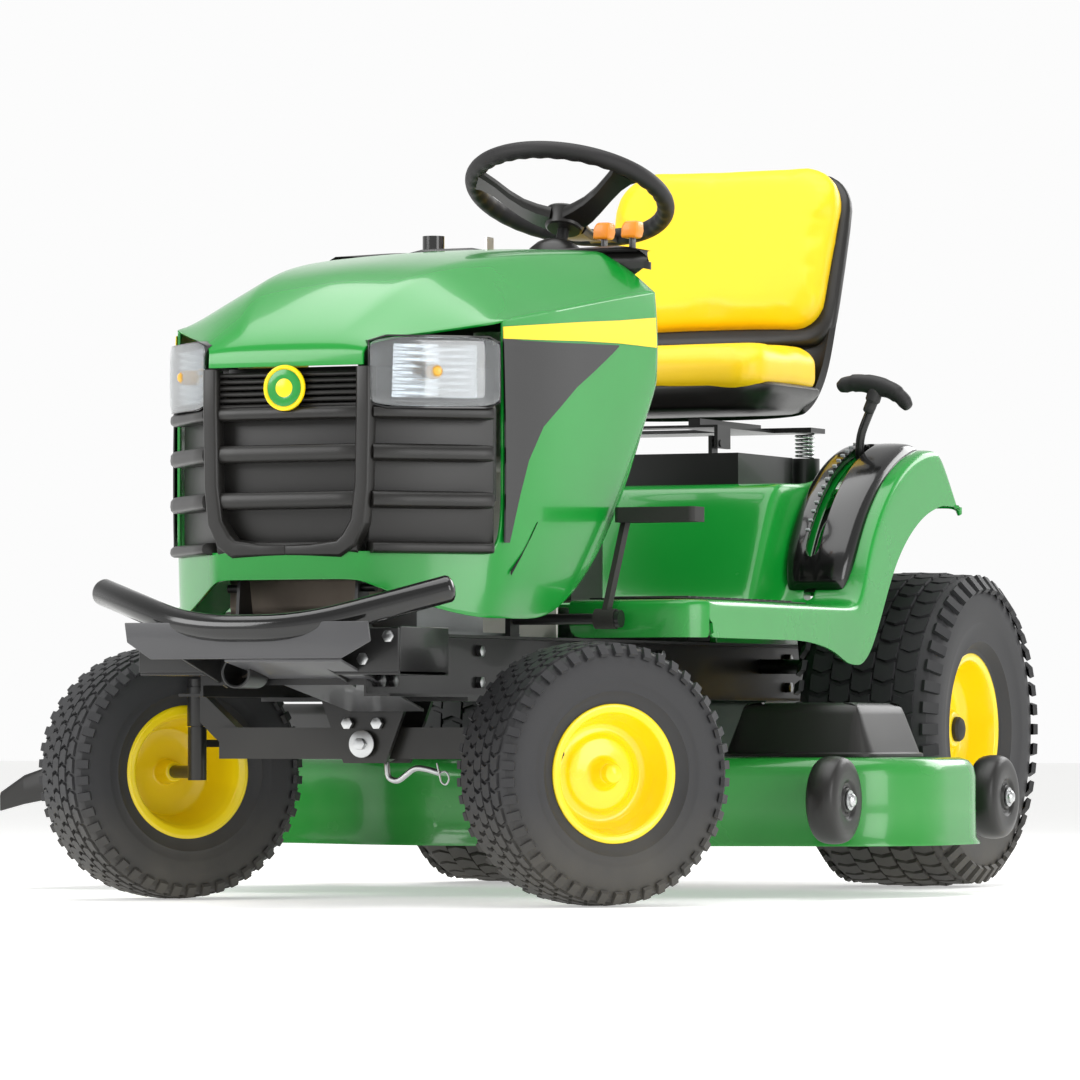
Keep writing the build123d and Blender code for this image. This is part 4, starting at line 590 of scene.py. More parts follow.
def sweep_section(name, section_at, path, material, body, node=None, angle=35):
    """A solid from closed sections along a path, with both ends capped."""
    points, faces = [], []
    count = len(section_at(0))
    for i, station in enumerate(path):
        points += [station(u, z) for u, z in section_at(i)]
    for i in range(len(path) - 1):
        for j in range(count):
            a, b = i * count + j, i * count + (j + 1) % count
            faces.append((a, b, b + count, a + count))
    faces += [tuple(range(count)), tuple(range((len(path) - 1) * count, len(path) * count))]
    obj = piece(name, points, faces, material, body, node)
    outward(obj.data)
    return smooth(obj, angle)


def front_station(x, y, nx, ny):
    """A place on the grille's plan: sections stand out along (nx, ny) from it."""
    return lambda u, z: (x + nx * u, y + ny * u, z)


def join(name, parts):
    """Several pieces on one body made into one."""
    work = bmesh.new()
    for part in parts:
        work.from_mesh(part.data)
    first = parts[0]
    mesh = bpy.data.meshes.new(name)
    work.to_mesh(mesh)
    work.free()
    mesh.materials.append(first.data.materials[0])
    for part in parts[1:]:
        bpy.data.objects.remove(part)
    first.data = mesh
    first.name = name
    return smooth(first)


def softened(obj, width_mm, segments=2, angle=40):
    """Rounds an object's hard edges."""
    bevel = obj.modifiers.new("edges", "BEVEL")
    bevel.width = width_mm / 1000
    bevel.segments = segments
    bevel.limit_method = "ANGLE"
    bevel.angle_limit = math.radians(angle)
    return smooth(baked(obj), angle)


wing_run = Vector((CORNER[1][0] - CORNER[0][0], CORNER[1][1] - CORNER[0][1])).normalized()
grille_parts = []
for k, z in enumerate(BAR_HEIGHTS):
    tall = (18, 26, 26, 20)[k]
    middle = [front_station(x, -914 - 3 * (1 - (x / 115) ** 2), 0, -1)
              for x in (-112, -80, -40, 0, 40, 80, 112)]
    grille_parts.append(sweep_section(f"bar_{k}", lambda i, z=z, t=tall: bar_section(z, t, 6, 26), middle,
                                      black_moulding, "hood"))
    for side in (-1, 1):
        path = []
        for s in (0.02, 0.3, 0.6, 0.86, 0.97, 1.0):
            x, y = [a + (b - a) * s for a, b in zip(*CORNER)]
            path.append(front_station(side * x, y, side * -wing_run.y * -1, -wing_run.x))
        sizes = (1, 1, 1, 0.98, 0.8, 0.5)
        grille_parts.append(sweep_section(
            f"wing_bar_{k}_{side}", lambda i, z=z, t=tall, s=sizes: bar_section(z, t * (0.7 + 0.3 * s[i]),
                                                                                9 * s[i], 22),
            path, black_moulding, "hood"))
for side in (-1, 1):
    post_path = []
    for z, x, wide in ((LAMP_HIGH - 44, 122, 26), (706, 122, 26), (600, 120, 26), (548, 114, 28),
                       (522, 100, 32), (510, 84, 30), (508, 40, 20), (508, 0, 18)):
        post_path.append((x, z, wide))
    points, faces = [], []
    for i, (x, z, wide) in enumerate(post_path):
        nxt = post_path[min(i + 1, len(post_path) - 1)]
        prv = post_path[max(i - 1, 0)]
        run = Vector((nxt[0] - prv[0], nxt[1] - prv[1])).normalized()
        across = Vector((-run.y, run.x))
        for a, y in ((-0.5, -905), (-0.42, -922), (-0.3, -925), (0.3, -925), (0.42, -922), (0.5, -905)):
            points.append((side * (x + across.x * a * wide), y, z + across.y * a * wide))
    for i in range(len(post_path) - 1):
        for j in range(5):
            a = i * 6 + j
            faces.append((a, a + 1, a + 7, a + 6))
        faces.append((i * 6 + 5, i * 6, i * 6 + 6, i * 6 + 11))
    faces += [tuple(range(6)), tuple(range(len(points) - 6, len(points)))]
    post = piece(f"post_{side}", points, faces, black_moulding, "hood")
    outward(post.data)
    grille_parts.append(post)
for z in range(714, 768, 9):
    grille_parts.append(sweep_section(f"rib_{z}", lambda i, z=z: [(3, z), (0, z + 3.4), (-12, z + 3.4),
                                                                  (-12, z - 3.4), (0, z - 3.4)],
                                      [front_station(x, -914, 0, -1) for x in (-110, 0, 110)], black_moulding,
                                      "hood"))
panel = Grid()
panel.add([[(-250, -758, z), (-118, -893, z), (118, -893, z), (250, -758, z)] for z in (505, 770)])
skin = piece("grille_backing", panel.points, panel.faces, black_moulding, "hood")
thick = skin.modifiers.new("wall", "SOLIDIFY")
thick.thickness = 0.003
baked(skin)
outward(skin.data)
grille_parts.append(skin)
grille = join("grille_moulding", grille_parts)
softened(grille, 1.2)
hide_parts("hood_grille")


# Headlamps: a clear polycarbonate lens wraps each front corner. Behind it sit a dark housing, a ribbed bright
# reflector and a small bulb. The lens has a raised edge.
lens_clear = finish("clear_polycarbonate", "#E9EEF1", "#F4F7F8", 0.08, grain_mm=20, bump_mm=0.02, ior=1.58)
lens_clear.node_tree.nodes["Principled BSDF"].inputs["Transmission Weight"].default_value = 0.92
mirror_coat = finish("vacuum_metallised_reflector", "#C9CCCE", "#E4E6E8", 0.2, patch_mm=20, grain_mm=3,
                     bump_mm=0.3,
                     metallic=1.0)
bulb_glow = finish("amber_bulb_glass", "#E8A33A", "#F2C04F", 0.15, patch_mm=6, grain_mm=2, bump_mm=0.02)
LAMP_PLAN = [(129, -917), (150, -902), (192, -862), (232, -818), (256, -786), (262, -766)]


def lamp_outline(inset, bulge):
    """The lamp's face: an upright grid following the corner, with rounded ends."""
    grid = []
    for k, (x, y) in enumerate(LAMP_PLAN):
        s = k / (len(LAMP_PLAN) - 1)
        low = LAMP_LOW + inset + (7 if k in (0, 5) else 0) + 4 * s
        high = LAMP_HIGH - inset - (7 if k in (0, 5) else 0) + 2 * s
        nx, ny = 0.68, -0.73
        column = []
        for t in (0.0, 0.08, 0.5, 0.92, 1.0):
            lift = bulge * (1 if 0.05 < t < 0.95 else 0.3)
            column.append((x + nx * lift - inset * 0.4 * (s - 0.5), y + ny * lift, low + (high - low) * t))
        grid.append(column)
    return grid


def lamp_skin(name, side, inset, bulge, thick, material, node=None):
    """A curved sheet with a wall, filling one lamp's opening."""
    sheet = Grid()
    rows = lamp_outline(inset, bulge)
    sheet.add(rows if side > 0 else both(rows))
    obj = piece(name, sheet.points, sheet.faces, material, "hood", node)
    soft = obj.modifiers.new("curve", "SUBSURF")
    soft.levels = soft.render_levels = 2
    wall = obj.modifiers.new("wall", "SOLIDIFY")
    wall.thickness = thick / 1000
    wall.offset = 0
    baked(obj)
    outward(obj.data)
    return smooth(obj, 40)


lenses, housings = [], []
for side in (-1, 1):
    tag = "left" if side > 0 else "right"
    lenses.append(lamp_skin(f"lamp_lens_{tag}", side, 3, 4, 2.5, lens_clear))
    housings.append(lamp_skin(f"lamp_bowl_{tag}", side, 1, -46, 2.5, black_gloss))
    rim_grid = Grid()
    for face_a, face_b in ((lamp_outline(2, 3), lamp_outline(1, -46)),):
        loop_a = [c[0] for c in face_a] + [p for p in face_a[-1][1:]] + [c[-1] for c in reversed(face_a[:-1])] \
            + [p for p in reversed(face_a[0][:-1])]
        loop_b = [c[0] for c in face_b] + [p for p in face_b[-1][1:]] + [c[-1] for c in reversed(face_b[:-1])] \
            + [p for p in reversed(face_b[0][:-1])]
    rows = [loop_a, loop_b]
    rim_grid.add(rows if side > 0 else both(rows))
    collar = piece(f"lamp_collar_{tag}", rim_grid.points, rim_grid.faces, black_gloss, "hood")
    wall = collar.modifiers.new("wall", "SOLIDIFY")
    wall.thickness = 0.0025
    baked(collar)
    outward(collar.data)
    housings.append(collar)
    ribs = Grid()
    for band in range(9):
        z0 = LAMP_LOW + 12 + band * 9.6
        x0, y0 = 146 + band * 0.4, -880
        x1, y1 = 236, -786
        rows = [[(x0, y0, z0), (x0 + (x1 - x0) / 2, (y0 + y1) / 2 + 16, z0), (x1, y1, z0)],
                [(x0 + 3, y0 - 4, z0 + 4.8), (x0 + (x1 - x0) / 2 + 3, (y0 + y1) / 2 + 9, z0 + 4.8),
                 (x1 + 3, y1 - 4, z0 + 4.8)],
                [(x0, y0, z0 + 9.6), (x0 + (x1 - x0) / 2, (y0 + y1) / 2 + 16, z0 + 9.6), (x1, y1, z0 + 9.6)]]
        ribs.add(rows if side > 0 else both(rows))
    bright = piece(f"lamp_reflector_{tag}", ribs.points, ribs.faces, mirror_coat, "hood", None)
    wall = bright.modifiers.new("wall", "SOLIDIFY")
    wall.thickness = 0.0015
    baked(bright)
    outward(bright.data, 0.01)
    bulb_axis = Matrix.Translation(at(side * 190, -836, 762)) @ Matrix.Rotation(math.radians(-90 + side * 42),
                                                                                4, "Z")
    bulb = [(0, 0.2), (0, 11), (14, 11), (22, 9), (27, 5), (28, 0.2), (0, 0.2)]
    lathe(f"lamp_bulb_{tag}", bulb, 24, bulb_axis, bulb_glow, "hood", None)
lens_pair = join("headlamp_lenses", lenses)
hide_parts("headlight_lenses")
bowl_pair = join("headlamp_housings", housings)
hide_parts("headlight_housings")


# Hood sides: a gloss black panel sweeps back from each lamp and down beside the grille, under a yellow
# decal stripe that widens towards the rear. The vent slot low in each side is not cut: a near-black film on the
# side is painted shade for the dark inside it.
stripe_film = finish("yellow_vinyl_decal", "#FFE100", "#FFD800", 0.3, grain_mm=8, bump_mm=0.02, coat=0.2)
# Near-black colour for the vent slots: painted shade standing in for the dark inside each slot.
vent_slot_shade = finish("painted_vent_slot_shade", "#050505", "#0A0A0A", 0.7, grain_mm=2, bump_mm=0.1)


def on_side(outline_points, proud, steps=10):
    """Rows across a pair of edges in (y, z), laid on the hood's side and standing a little proud."""
    rows = []
    for (ya, za), (yb, zb) in outline_points:
        row = []
        for i in range(steps + 1):
            t = i / steps
            y, z = ya + (yb - ya) * t, za + (zb - za) * t
            low = 412 if y < -620 else 412 + (y + 620) * 0.75
            share = (z - low) / max(shoulder_z(max(min(y, -275), -920)) - low, 1)
            row.append((side_x(max(y, -755)) + 4.4 * math.sin(math.pi * min(1, max(0, share))) + proud, y, z))
        rows.append(row)
    return rows


def side_film(name, pairs, proud, thick, material):
    """One thin skin on each side of the hood."""
    sheet = Grid()
    rows = on_side(pairs, proud)
    sheet.add(rows)
    sheet.add(both(rows))
    obj = piece(name, sheet.points, sheet.faces, material, "hood", None)
    wall = obj.modifiers.new("wall", "SOLIDIFY")
    wall.thickness = thick / 1000
    wall.offset = 0
    baked(obj)
    outward(obj.data, 0.01)
    return smooth(obj, 40)


# Pairs run from the front edge to the rear: the first point on the upper edge, the second on the lower.
side_panel = [((-757, 812), (-757, 520)), ((-740, 812), (-744, 520)), ((-722, 812), (-716, 590)),
              ((-700, 812), (-692, 640)), ((-660, 813), (-650, 690)), ((-610, 814), (-600, 720)),
              ((-550, 816), (-545, 752)),
              ((-490, 818), (-488, 778)), ((-430, 820), (-430, 806)), ((-405, 821), (-405, 819))]
side_film("hood_side_panels", side_panel, 0.6, 2.4, black_gloss)
stripe = [((-757, 829), (-757, 812)), ((-640, 839), (-640, 816)), ((-520, 849), (-520, 821)),
          ((-400, 858), (-400, 824)),
          ((-280, 869), (-280, 824))]
side_film("hood_stripes", stripe, 1.2, 1.2, stripe_film)
# The vent slots: a thin near-black film laid on each side, painted shade where the slot's opening would be.
vent = [((-664, 552), (-670, 546)), ((-684, 528), (-690, 522)), ((-708, 504), (-713, 497)),
        ((-736, 480), (-736, 474))]
side_film("hood_vent_slots", vent, 0.4, 1.2, vent_slot_shade)


# Badge: a plain round plate with a raised ring, in the middle of the grille's ribbed top.
badge_axis = Matrix.Translation(at(0, -924, 739)) @ Matrix.Rotation(math.radians(-90), 4, "Z")
badge = [(-2, 0.2), (-2, 31), (2, 33), (5, 32.4), (6, 30), (5, 28), (3.4, 27), (4.2, 14), (5.4, 11), (5.6, 0.2),
         (-2, 0.2)]
lathe("badge_plate", badge, 48, badge_axis, stripe_film, "hood", None)
field = [(2, 0.2), (2, 26.4), (4.2, 26.4), (4.6, 25.6), (4.8, 14.4), (4.6, 13.4), (2, 13.4), (2, 0.2)]
lathe("badge_field", field, 48, badge_axis, green_gloss, "hood", None)


# Seat: two foam pads in yellow vinyl on a black moulded pan. Each pad is a crowned cushion with full side
# bolsters, filled by a cloth simulation.
seat_vinyl = finish("embossed_yellow_vinyl", "#F4C800", "#FFD60F", 0.42, patch_mm=120, grain_mm=2.4,
                    bump_mm=0.25, ior=1.5)


def pad_form(name, wide, long, thick, corners, place, shape=None):
    """A closed block: its plan's corners are well rounded (front pair, rear pair), then every edge."""
    front, rear = corners
    outline = []
    for cx, cy, r, first in ((wide / 2, long / 2, rear, 0), (-wide / 2, long / 2, rear, 90),
                             (-wide / 2, -long / 2, front, 180), (wide / 2, -long / 2, front, 270)):
        mx, my = cx - math.copysign(r, cx), cy - math.copysign(r, cy)
        outline += [(mx + r * math.cos(math.radians(first + a)), my + r * math.sin(math.radians(first + a)))
                    for a in (0, 18, 36, 54, 72, 90)]
    n = len(outline)
    points, faces = [], []
    levels = ((-0.5, 0.9), (-0.42, 0.965), (-0.22, 1.0), (0.22, 1.0), (0.42, 0.965), (0.5, 0.9))
    for level, shrink in levels:
        points += [(x * shrink, y * (1 - (1 - shrink) * wide / long), level * thick) for x, y in outline]
    for i in range(len(levels) - 1):
        for k in range(n):
            a, b = i * n + k, i * n + (k + 1) % n
            faces.append((a, b, b + n, a + n))
    faces += [tuple(range(n)), tuple(range((len(levels) - 1) * n, len(levels) * n))]
    if shape:
        points = [shape(*p) for p in points]
    mesh = bpy.data.meshes.new(name)
    mesh.from_pydata([at(*(place @ Vector(p))) for p in points], [], faces)
    outward(mesh)
    obj = bpy.data.objects.new(name, mesh)
    bpy.context.collection.objects.link(obj)
    return obj


def filled(obj, pressure, cap_mm):
    """Blows the pad up as cloth, lets no point move further than the cap, and smooths it once."""
    remesh = obj.modifiers.new("weave", "REMESH")
    remesh.mode = "VOXEL"
    remesh.voxel_size = 0.006
    baked(obj)
    rest = [v.co.copy() for v in obj.data.vertices]
    scene = bpy.context.scene
    cloth = obj.modifiers.new("cloth", "CLOTH")
    cloth.settings.use_pressure = True
    cloth.settings.uniform_pressure_force = pressure
    cloth.settings.tension_stiffness = cloth.settings.compression_stiffness = 20
    cloth.settings.bending_stiffness = 2
    cloth.settings.effector_weights.gravity = 0
    cloth.point_cache.frame_start, cloth.point_cache.frame_end = 1, 20
    for step in range(1, 21):
        scene.frame_set(step)
    baked(obj)
    scene.frame_set(1)
    for vertex, before in zip(obj.data.vertices, rest):
        move = vertex.co - before
        if move.length > cap_mm / 1000:
            vertex.co = before + move.normalized() * cap_mm / 1000
    relax = obj.modifiers.new("relax", "SMOOTH")
    relax.factor = 0.6
    relax.iterations = 5
    level = obj.modifiers.new("fine", "SUBSURF")
    level.levels = level.render_levels = 1
    baked(obj)
    obj.data.polygons.foreach_set("use_smooth", [True] * len(obj.data.polygons))
    return obj


def pad(name, node, form):
    """One finished seat pad."""
    obj = filled(form, 4, 8)
    obj.name = name
    obj.data.materials.clear()
    obj.data.materials.append(seat_vinyl)
    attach(obj, "seat")
    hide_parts(node)
    return obj


def tilted(x, y, z, lean):
    """A place in millimetres, leaning back about X."""
    return Matrix.Translation((x, y, z)) @ Matrix.Rotation(math.radians(lean), 4, "X")


def bolstered(x, y, z):
    """The base pad rises to its sides and rear, and rolls down at the front."""
    rise = 9 * max(abs(x) / 200 - 0.45, 0) + 7 * max(y / 150 - 0.2, 0)
    roll = -10 * max(-y / 150 - 0.72, 0) / 0.28
    return x, y, z + (rise + roll if z > 0 else roll * 0.4)


def wrapped(x, y, z):
    """The back pad curves forwards at its sides and is narrower low down."""
    return x * (1 - 0.045 * max(-y / 150, 0)), y, z + 10 * (abs(x) / 205) ** 2


base_form = pad_form("seat_base_form", 416, 296, 62, (44, 58), tilted(0, 478, 829, 0), bolstered)
back_form = pad_form("seat_back_form", 412, 296, 54, (46, 74), tilted(0, 671, 1040, 69.5), wrapped)
pad("seat_base_pad", "seat_base_cushion", base_form)
pad("seat_back_pad", "seat_back_cushion", back_form)


def shell_part(name, form):
    """A moulded black part of the seat pan, from the same kind of form as the pads."""
    level = form.modifiers.new("soft", "SUBSURF")
    level.levels = level.render_levels = 1
    baked(form)
    form.name = name
    form.data.materials.clear()
    form.data.materials.append(black_moulding)
    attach(form, "seat")
    return smooth(form, 50)


pan = shell_part("seat_pan", pad_form("pan_form", 424, 292, 50, (60, 60), tilted(0, 486, 788, 0),
                                      lambda x, y, z: (x * (1 if z > 0 else 0.86), y * (1 if z > 0 else 0.9),
                                                       z)))
shell = shell_part("seat_back_shell", pad_form("back_shell_form", 426, 316, 30, (50, 80),
                                               tilted(0, 688, 1022, 69.5),
                                               lambda x, y, z: (x, y, z + 9 * (abs(x) / 213) ** 2)))
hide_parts("seat_shell")
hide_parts("seat_shell")
elbow_rows = []
for y, z, half, lift in ((596, 764, 176, 14), (618, 774, 186, 22), (634, 800, 196, 26), (642, 836, 203, 24),
                         (650, 880, 207, 22), (662, 925, 209, 20)):
    elbow_rows.append([(x * half, y - lift * abs(x) ** 6, z + lift * 0.5 * abs(x) ** 6)
                       for x in (-1, -0.97, -0.85, -0.5, 0, 0.5, 0.85, 0.97, 1)])
elbow = Grid()
elbow.add(elbow_rows)
elbow = piece("seat_pan_elbow", elbow.points, elbow.faces, black_moulding, "seat", None)
level = elbow.modifiers.new("soft", "SUBSURF")
level.levels = level.render_levels = 2
wall = elbow.modifiers.new("wall", "SOLIDIFY")
wall.thickness = 0.012
wall.offset = 0
smooth(baked(elbow), 50)


# Fender deck: one formed cover in glossy green. The foot rests meet a sloping step wall, the wall runs up
# to the flat top under the seat, and a fender on each side arches over its tyre and rolls down to a skirt.
green_deck = finish("gloss_green_fender", "#0B8A2A", "#119634", 0.26, grain_mm=6, bump_mm=0.05, coat=0.4,
                    dust=0.25,
                    dust_top_mm=500)
LIFT_Y, LIFT_Z, FENDER_R = 515, 355, 345


def on_arc(lean, radius=FENDER_R):
    """A point (y, z) about the lift shaft, by its lean forwards from upright."""
    turn = math.radians(lean)
    return LIFT_Y - radius * math.sin(turn), LIFT_Z + radius * math.cos(turn)


middle_line = [(-460, 388), (-460, 432), (-454, 443), (-440, 445), (-300, 445), (-200, 445), (-112, 445),
               (-105, 445),
               (-50, 445), (20, 445), (64, 445), (84, 449), (100, 464), (124, 508), (146, 550), (168, 592),
               (184, 620), (202, 636), (226, 640), (300, 640), (380, 640), (440, 640), (500, 640), (560, 640),
               (600, 640), (640, 640), (678, 640), (685, 634)]
fender_line = middle_line[:9] + [(60, 445), (120, 445), (155, 446), (176, 453)] \
    + [on_arc(a) for a in (69, 64, 58, 52, 46, 39, 32, 24, 17, 10, 4, 0)] + [(536, 687), (588, 629), (603, 612)]
SKIRT_EDGE = [(-460, 388), (40, 388), (107, 354), (179, 353), (215, 372), (250, 412), (285, 462), (313, 502),
              (350, 538), (400, 571), (460, 597), (527, 612), (603, 611)]


def along(points, y):
    """Height of a line of (y, z) points at y."""
    for (y0, z0), (y1, z1) in zip(points, points[1:]):
        if y <= y1:
            return z0 + (z1 - z0) * max(y - y0, 0) / max(y1 - y0, 0.001)
    return points[-1][1]


def deck_column(x):
    """The cover's line at one distance from the middle: floor, step and top, or floor and fender."""
    wide = abs(x)
    share = min(max((wide - 286) / 20, 0), 1)
    share = share * share * (3 - 2 * share)
    corner = max(wide - 396, 0) / 44
    line = []
    for k, ((ym, zm), (yf, zf)) in enumerate(zip(middle_line, fender_line)):
        y, z = ym + (yf - ym) * share, zm + (zf - zm) * share
        if k < 4:
            y += 40 * corner * corner
        line.append((x, y, z))
    return line


half_columns = [0, 110, 215, 226, 232, 262, 282, 290, 298, 306, 314, 336, 340, 360, 364, 400, 420]
columns = [deck_column(-x) for x in reversed(half_columns[1:])] + [deck_column(x) for x in half_columns]


def skirt(side):
    """The rolled edge and the skirt below it, from the top's last column outwards."""
    out = []
    for x, drop in ((432, 1.5), (438, 6), (440, 14)):
        out.append([(side * x, y, z - (drop if k > 2 else 0)) for k,
                    (_, y, z) in enumerate(deck_column(side * x))])
    for share in (0.35, 0.7, 0.94, 1.0):
        row = []
        for k, (_, y, z) in enumerate(deck_column(side * 440)):
            low = along(SKIRT_EDGE, y)
            top = z - 14
            row.append((side * 440, y, min(z, top + (low - top) * share) if k > 1 else z))
        out.append(row)
    return out


columns = list(reversed(skirt(-1))) + columns + skirt(1)
xs = [round(column[6][0]) for column in columns]
points, faces = [], []
for column in columns:
    points += column
rows = len(middle_line)
for i in range(len(columns) - 1):
    for j in range(rows - 1):
        low_x, high_x = sorted((xs[i], xs[i + 1]))
        floor_gap = high_x <= 232 and low_x >= -232 and j < 7
        lever_slot = low_x >= 340 and high_x <= 360 and 12 <= j < 23
        pedal_slot = low_x >= -364 and high_x <= -336 and 2 <= j < 4
        if not (floor_gap or lever_slot or pedal_slot):
            a = i * rows + j
            faces.append((a, a + 1, a + rows + 1, a + rows))
cover = piece("fender_deck_moulding", points, faces, green_deck, "chassis", "fender_deck")
outward(cover.data)
face_up = max(cover.data.polygons, key=lambda f: f.center.z)
if face_up.normal.z < 0:
    cover.data.flip_normals()
level = cover.modifiers.new("soft", "SUBSURF")
level.levels = level.render_levels = 2
wall = cover.modifiers.new("wall", "SOLIDIFY")
wall.thickness = 0.004
wall.offset = -1
smooth(baked(cover), 50)


def slab(name, outline_points, across, low, high, material, body, node=None, slot=None, round_mm=3, segments=3):
    """A prism with rounded edges: the outline lies in X-Y, Y-Z or X-Z, and the slab runs across it."""
    order = {"z": lambda a, b, c: (a, b, c), "x": lambda a, b, c: (c, a, b), "y": lambda a, b,
             c: (a, c, b)}[across]
    n = len(outline_points)
    points = [order(a, b, c) for c in (low, high) for a, b in outline_points]
    faces = [tuple(range(n)), tuple(range(n, 2 * n))] + [(i, (i + 1) % n, n + (i + 1) % n, n + i)
                                                         for i in range(n)]
    obj = piece(name, points, faces, material, body, node)
    outward(obj.data)
    return softened(obj, round_mm, segments, 30) if round_mm else smooth(obj, 30)


def box_points(a0, a1, b0, b1):
    """A rectangle as an outline."""
    return [(a0, b0), (a1, b0), (a1, b1), (a0, b1)]


slab("fender_rear_apron", box_points(-225, 225, 472, 636), "y", 681, 685, green_deck, "chassis", None,
             "hood_green", 1.5)
for side in (-1, 1):
    slab(f"deck_leg_{side}", box_points(*sorted((side * 148, side * 160)), 262, 655), "z", 390, 632, green_deck,
         "chassis", None, "hood_green", 2)
    mat = [(x, y) for x, y in ((side * 252, -430), (side * 388, -430), (side * 412, -405), (side * 412, 20),
                               (side * 252, 20))]
    slab(f"foot_mat_{side}", mat, "z", 445.2, 447.2, black_rubber, "chassis", None, "black_plastic", 0.8, 2)


# Foot mats carry raised ribs across the foot's length, all one size.
def repeated(name, shape, spots, material, body):
    """Geometry Nodes: one shape set on each spot of a list, turned about Z by the spot's angle."""
    tree = bpy.data.node_groups.new(name, "GeometryNodeTree")
    tree.interface.new_socket("Geometry", in_out="INPUT", socket_type="NodeSocketGeometry")
    size = tree.interface.new_socket("Size", in_out="INPUT", socket_type="NodeSocketFloat")
    tree.interface.new_socket("Geometry", in_out="OUTPUT", socket_type="NodeSocketGeometry")
    given = add_node(tree, "NodeGroupInput").outputs
    turn = add_node(tree, "GeometryNodeInputNamedAttribute", {"data_type": "FLOAT_VECTOR",
                                                              "Name": "turn"}).outputs["Attribute"]
    source = add_node(tree, "GeometryNodeObjectInfo", {"Object": shape}).outputs["Geometry"]
    copies = add_node(tree, "GeometryNodeInstanceOnPoints", None,
                      {"Points": given["Geometry"], "Instance": source, "Rotation": turn,
                       "Scale": given["Size"]}).outputs[0]
    real = add_node(tree, "GeometryNodeRealizeInstances", None, {"Geometry": copies}).outputs[0]
    painted = add_node(tree, "GeometryNodeSetMaterial", {"Material": material}, {"Geometry": real}).outputs[0]
    add_node(tree, "NodeGroupOutput", None, {"Geometry": painted})
    mesh = bpy.data.meshes.new(name)
    mesh.from_pydata([at(*spot[:3]) for spot in spots], [], [])
    turns = mesh.attributes.new("turn", "FLOAT_VECTOR", "POINT")
    for k, spot in enumerate(spots):
        turns.data[k].vector = [math.radians(a) for a in (spot[3:6] if len(spot) > 3 else (0, 0, 0))]
    obj = bpy.data.objects.new(name, mesh)
    bpy.context.collection.objects.link(obj)
    nodes = obj.modifiers.new("copies", "NODES")
    nodes.node_group = tree
    nodes[size.identifier] = 1.0
    baked(obj)
    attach(obj, body)
    return smooth(obj, 30)


def loose_shape(name, points, faces, round_mm=0.0):
    """A shape about its own origin, in millimetres, that only Geometry Nodes show."""
    mesh = bpy.data.meshes.new(name)
    mesh.from_pydata([[c / 1000 for c in p] for p in points], [], faces)
    outward(mesh)
    obj = bpy.data.objects.new(name, mesh)
    if round_mm:
        bpy.context.collection.objects.link(obj)
        softened(obj, round_mm, 2, 30)
        bpy.context.collection.objects.unlink(obj)
    return obj


def box_shape(name, sx, sy, sz, round_mm=0.0):
    """A small box about its own origin."""
    points = [(a * sx / 2, b * sy / 2, c * sz / 2) for a in (-1, 1) for b in (-1, 1) for c in (-1, 1)]
    faces = [(0, 1, 3, 2), (4, 6, 7, 5), (0, 4, 5, 1), (2, 3, 7, 6), (0, 2, 6, 4), (1, 5, 7, 3)]
    return loose_shape(name, points, faces, round_mm)


mat_rib = box_shape("mat_rib", 128, 9, 4, 1.4)
repeated("foot_mat_ribs", mat_rib, [(side * 330, y, 448) for side in (-1, 1) for y in range(-385, 10, 26)],
         black_rubber,
         "chassis")


# Lift lever console: a black moulding on the left fender, thicker than it looks from afar, round a slot whose
# inner edge carries the height notches. The lever is a bent black rod with an arched T grip.
CONSOLE_COLUMNS = [(302, 0), (303, 0.5), (309, 0.88), (322, 1), (336, 1), (338, 0.97), (362, 0.97), (364, 1),
                   (386, 1),
                   (406, 0.9), (414, 0.6), (417, 0.3), (418, 0)]
CONSOLE_LEANS = [(71, 0), (70.4, 0.5), (68, 0.86), (63, 1), (57, 1), (50, 1), (42, 0.95), (34, 0.9), (26, 0.85),
                 (18, 0.8),
                 (11, 0.75), (6, 0.6), (4, 0.35), (3.4, 0)]
points, faces = [], []
for x, across in CONSOLE_COLUMNS:
    for lean, along_it in CONSOLE_LEANS:
        narrow = 1 - 0.22 * max((lean - 60) / 11, 0) ** 2 - 0.12 * max((12 - lean) / 9, 0)
        y, z = on_arc(lean, FENDER_R - 2 + 24 * across * along_it)
        points.append((360 + (x - 360) * narrow, y, z))
rows = len(CONSOLE_LEANS)
for i in range(len(CONSOLE_COLUMNS) - 1):
    for j in range(rows - 1):
        if not (i == 5 and 3 <= j < 10):
            a = i * rows + j
            faces.append((a, a + 1, a + rows + 1, a + rows))
console = piece("lever_console_moulding", points, faces, black_gloss, "chassis", "lever_console")
outward(console.data)
if max(console.data.polygons, key=lambda f: f.center.z).normal.z < 0:
    console.data.flip_normals()
level = console.modifiers.new("soft", "SUBSURF")
level.levels = level.render_levels = 2
wall = console.modifiers.new("wall", "SOLIDIFY")
wall.thickness = 0.014
wall.offset = -1
smooth(baked(console), 50)
notch = box_shape("notch", 7, 3.2, 5, 0.6)
repeated("height_notches", notch, [(335.5, *on_arc(a, FENDER_R + 21), a, 0, 0) for a in range(16, 56, 3)],
         finish("grey_marking_ink", "#8F9496", "#A3A7A8", 0.5, grain_mm=1), "chassis")


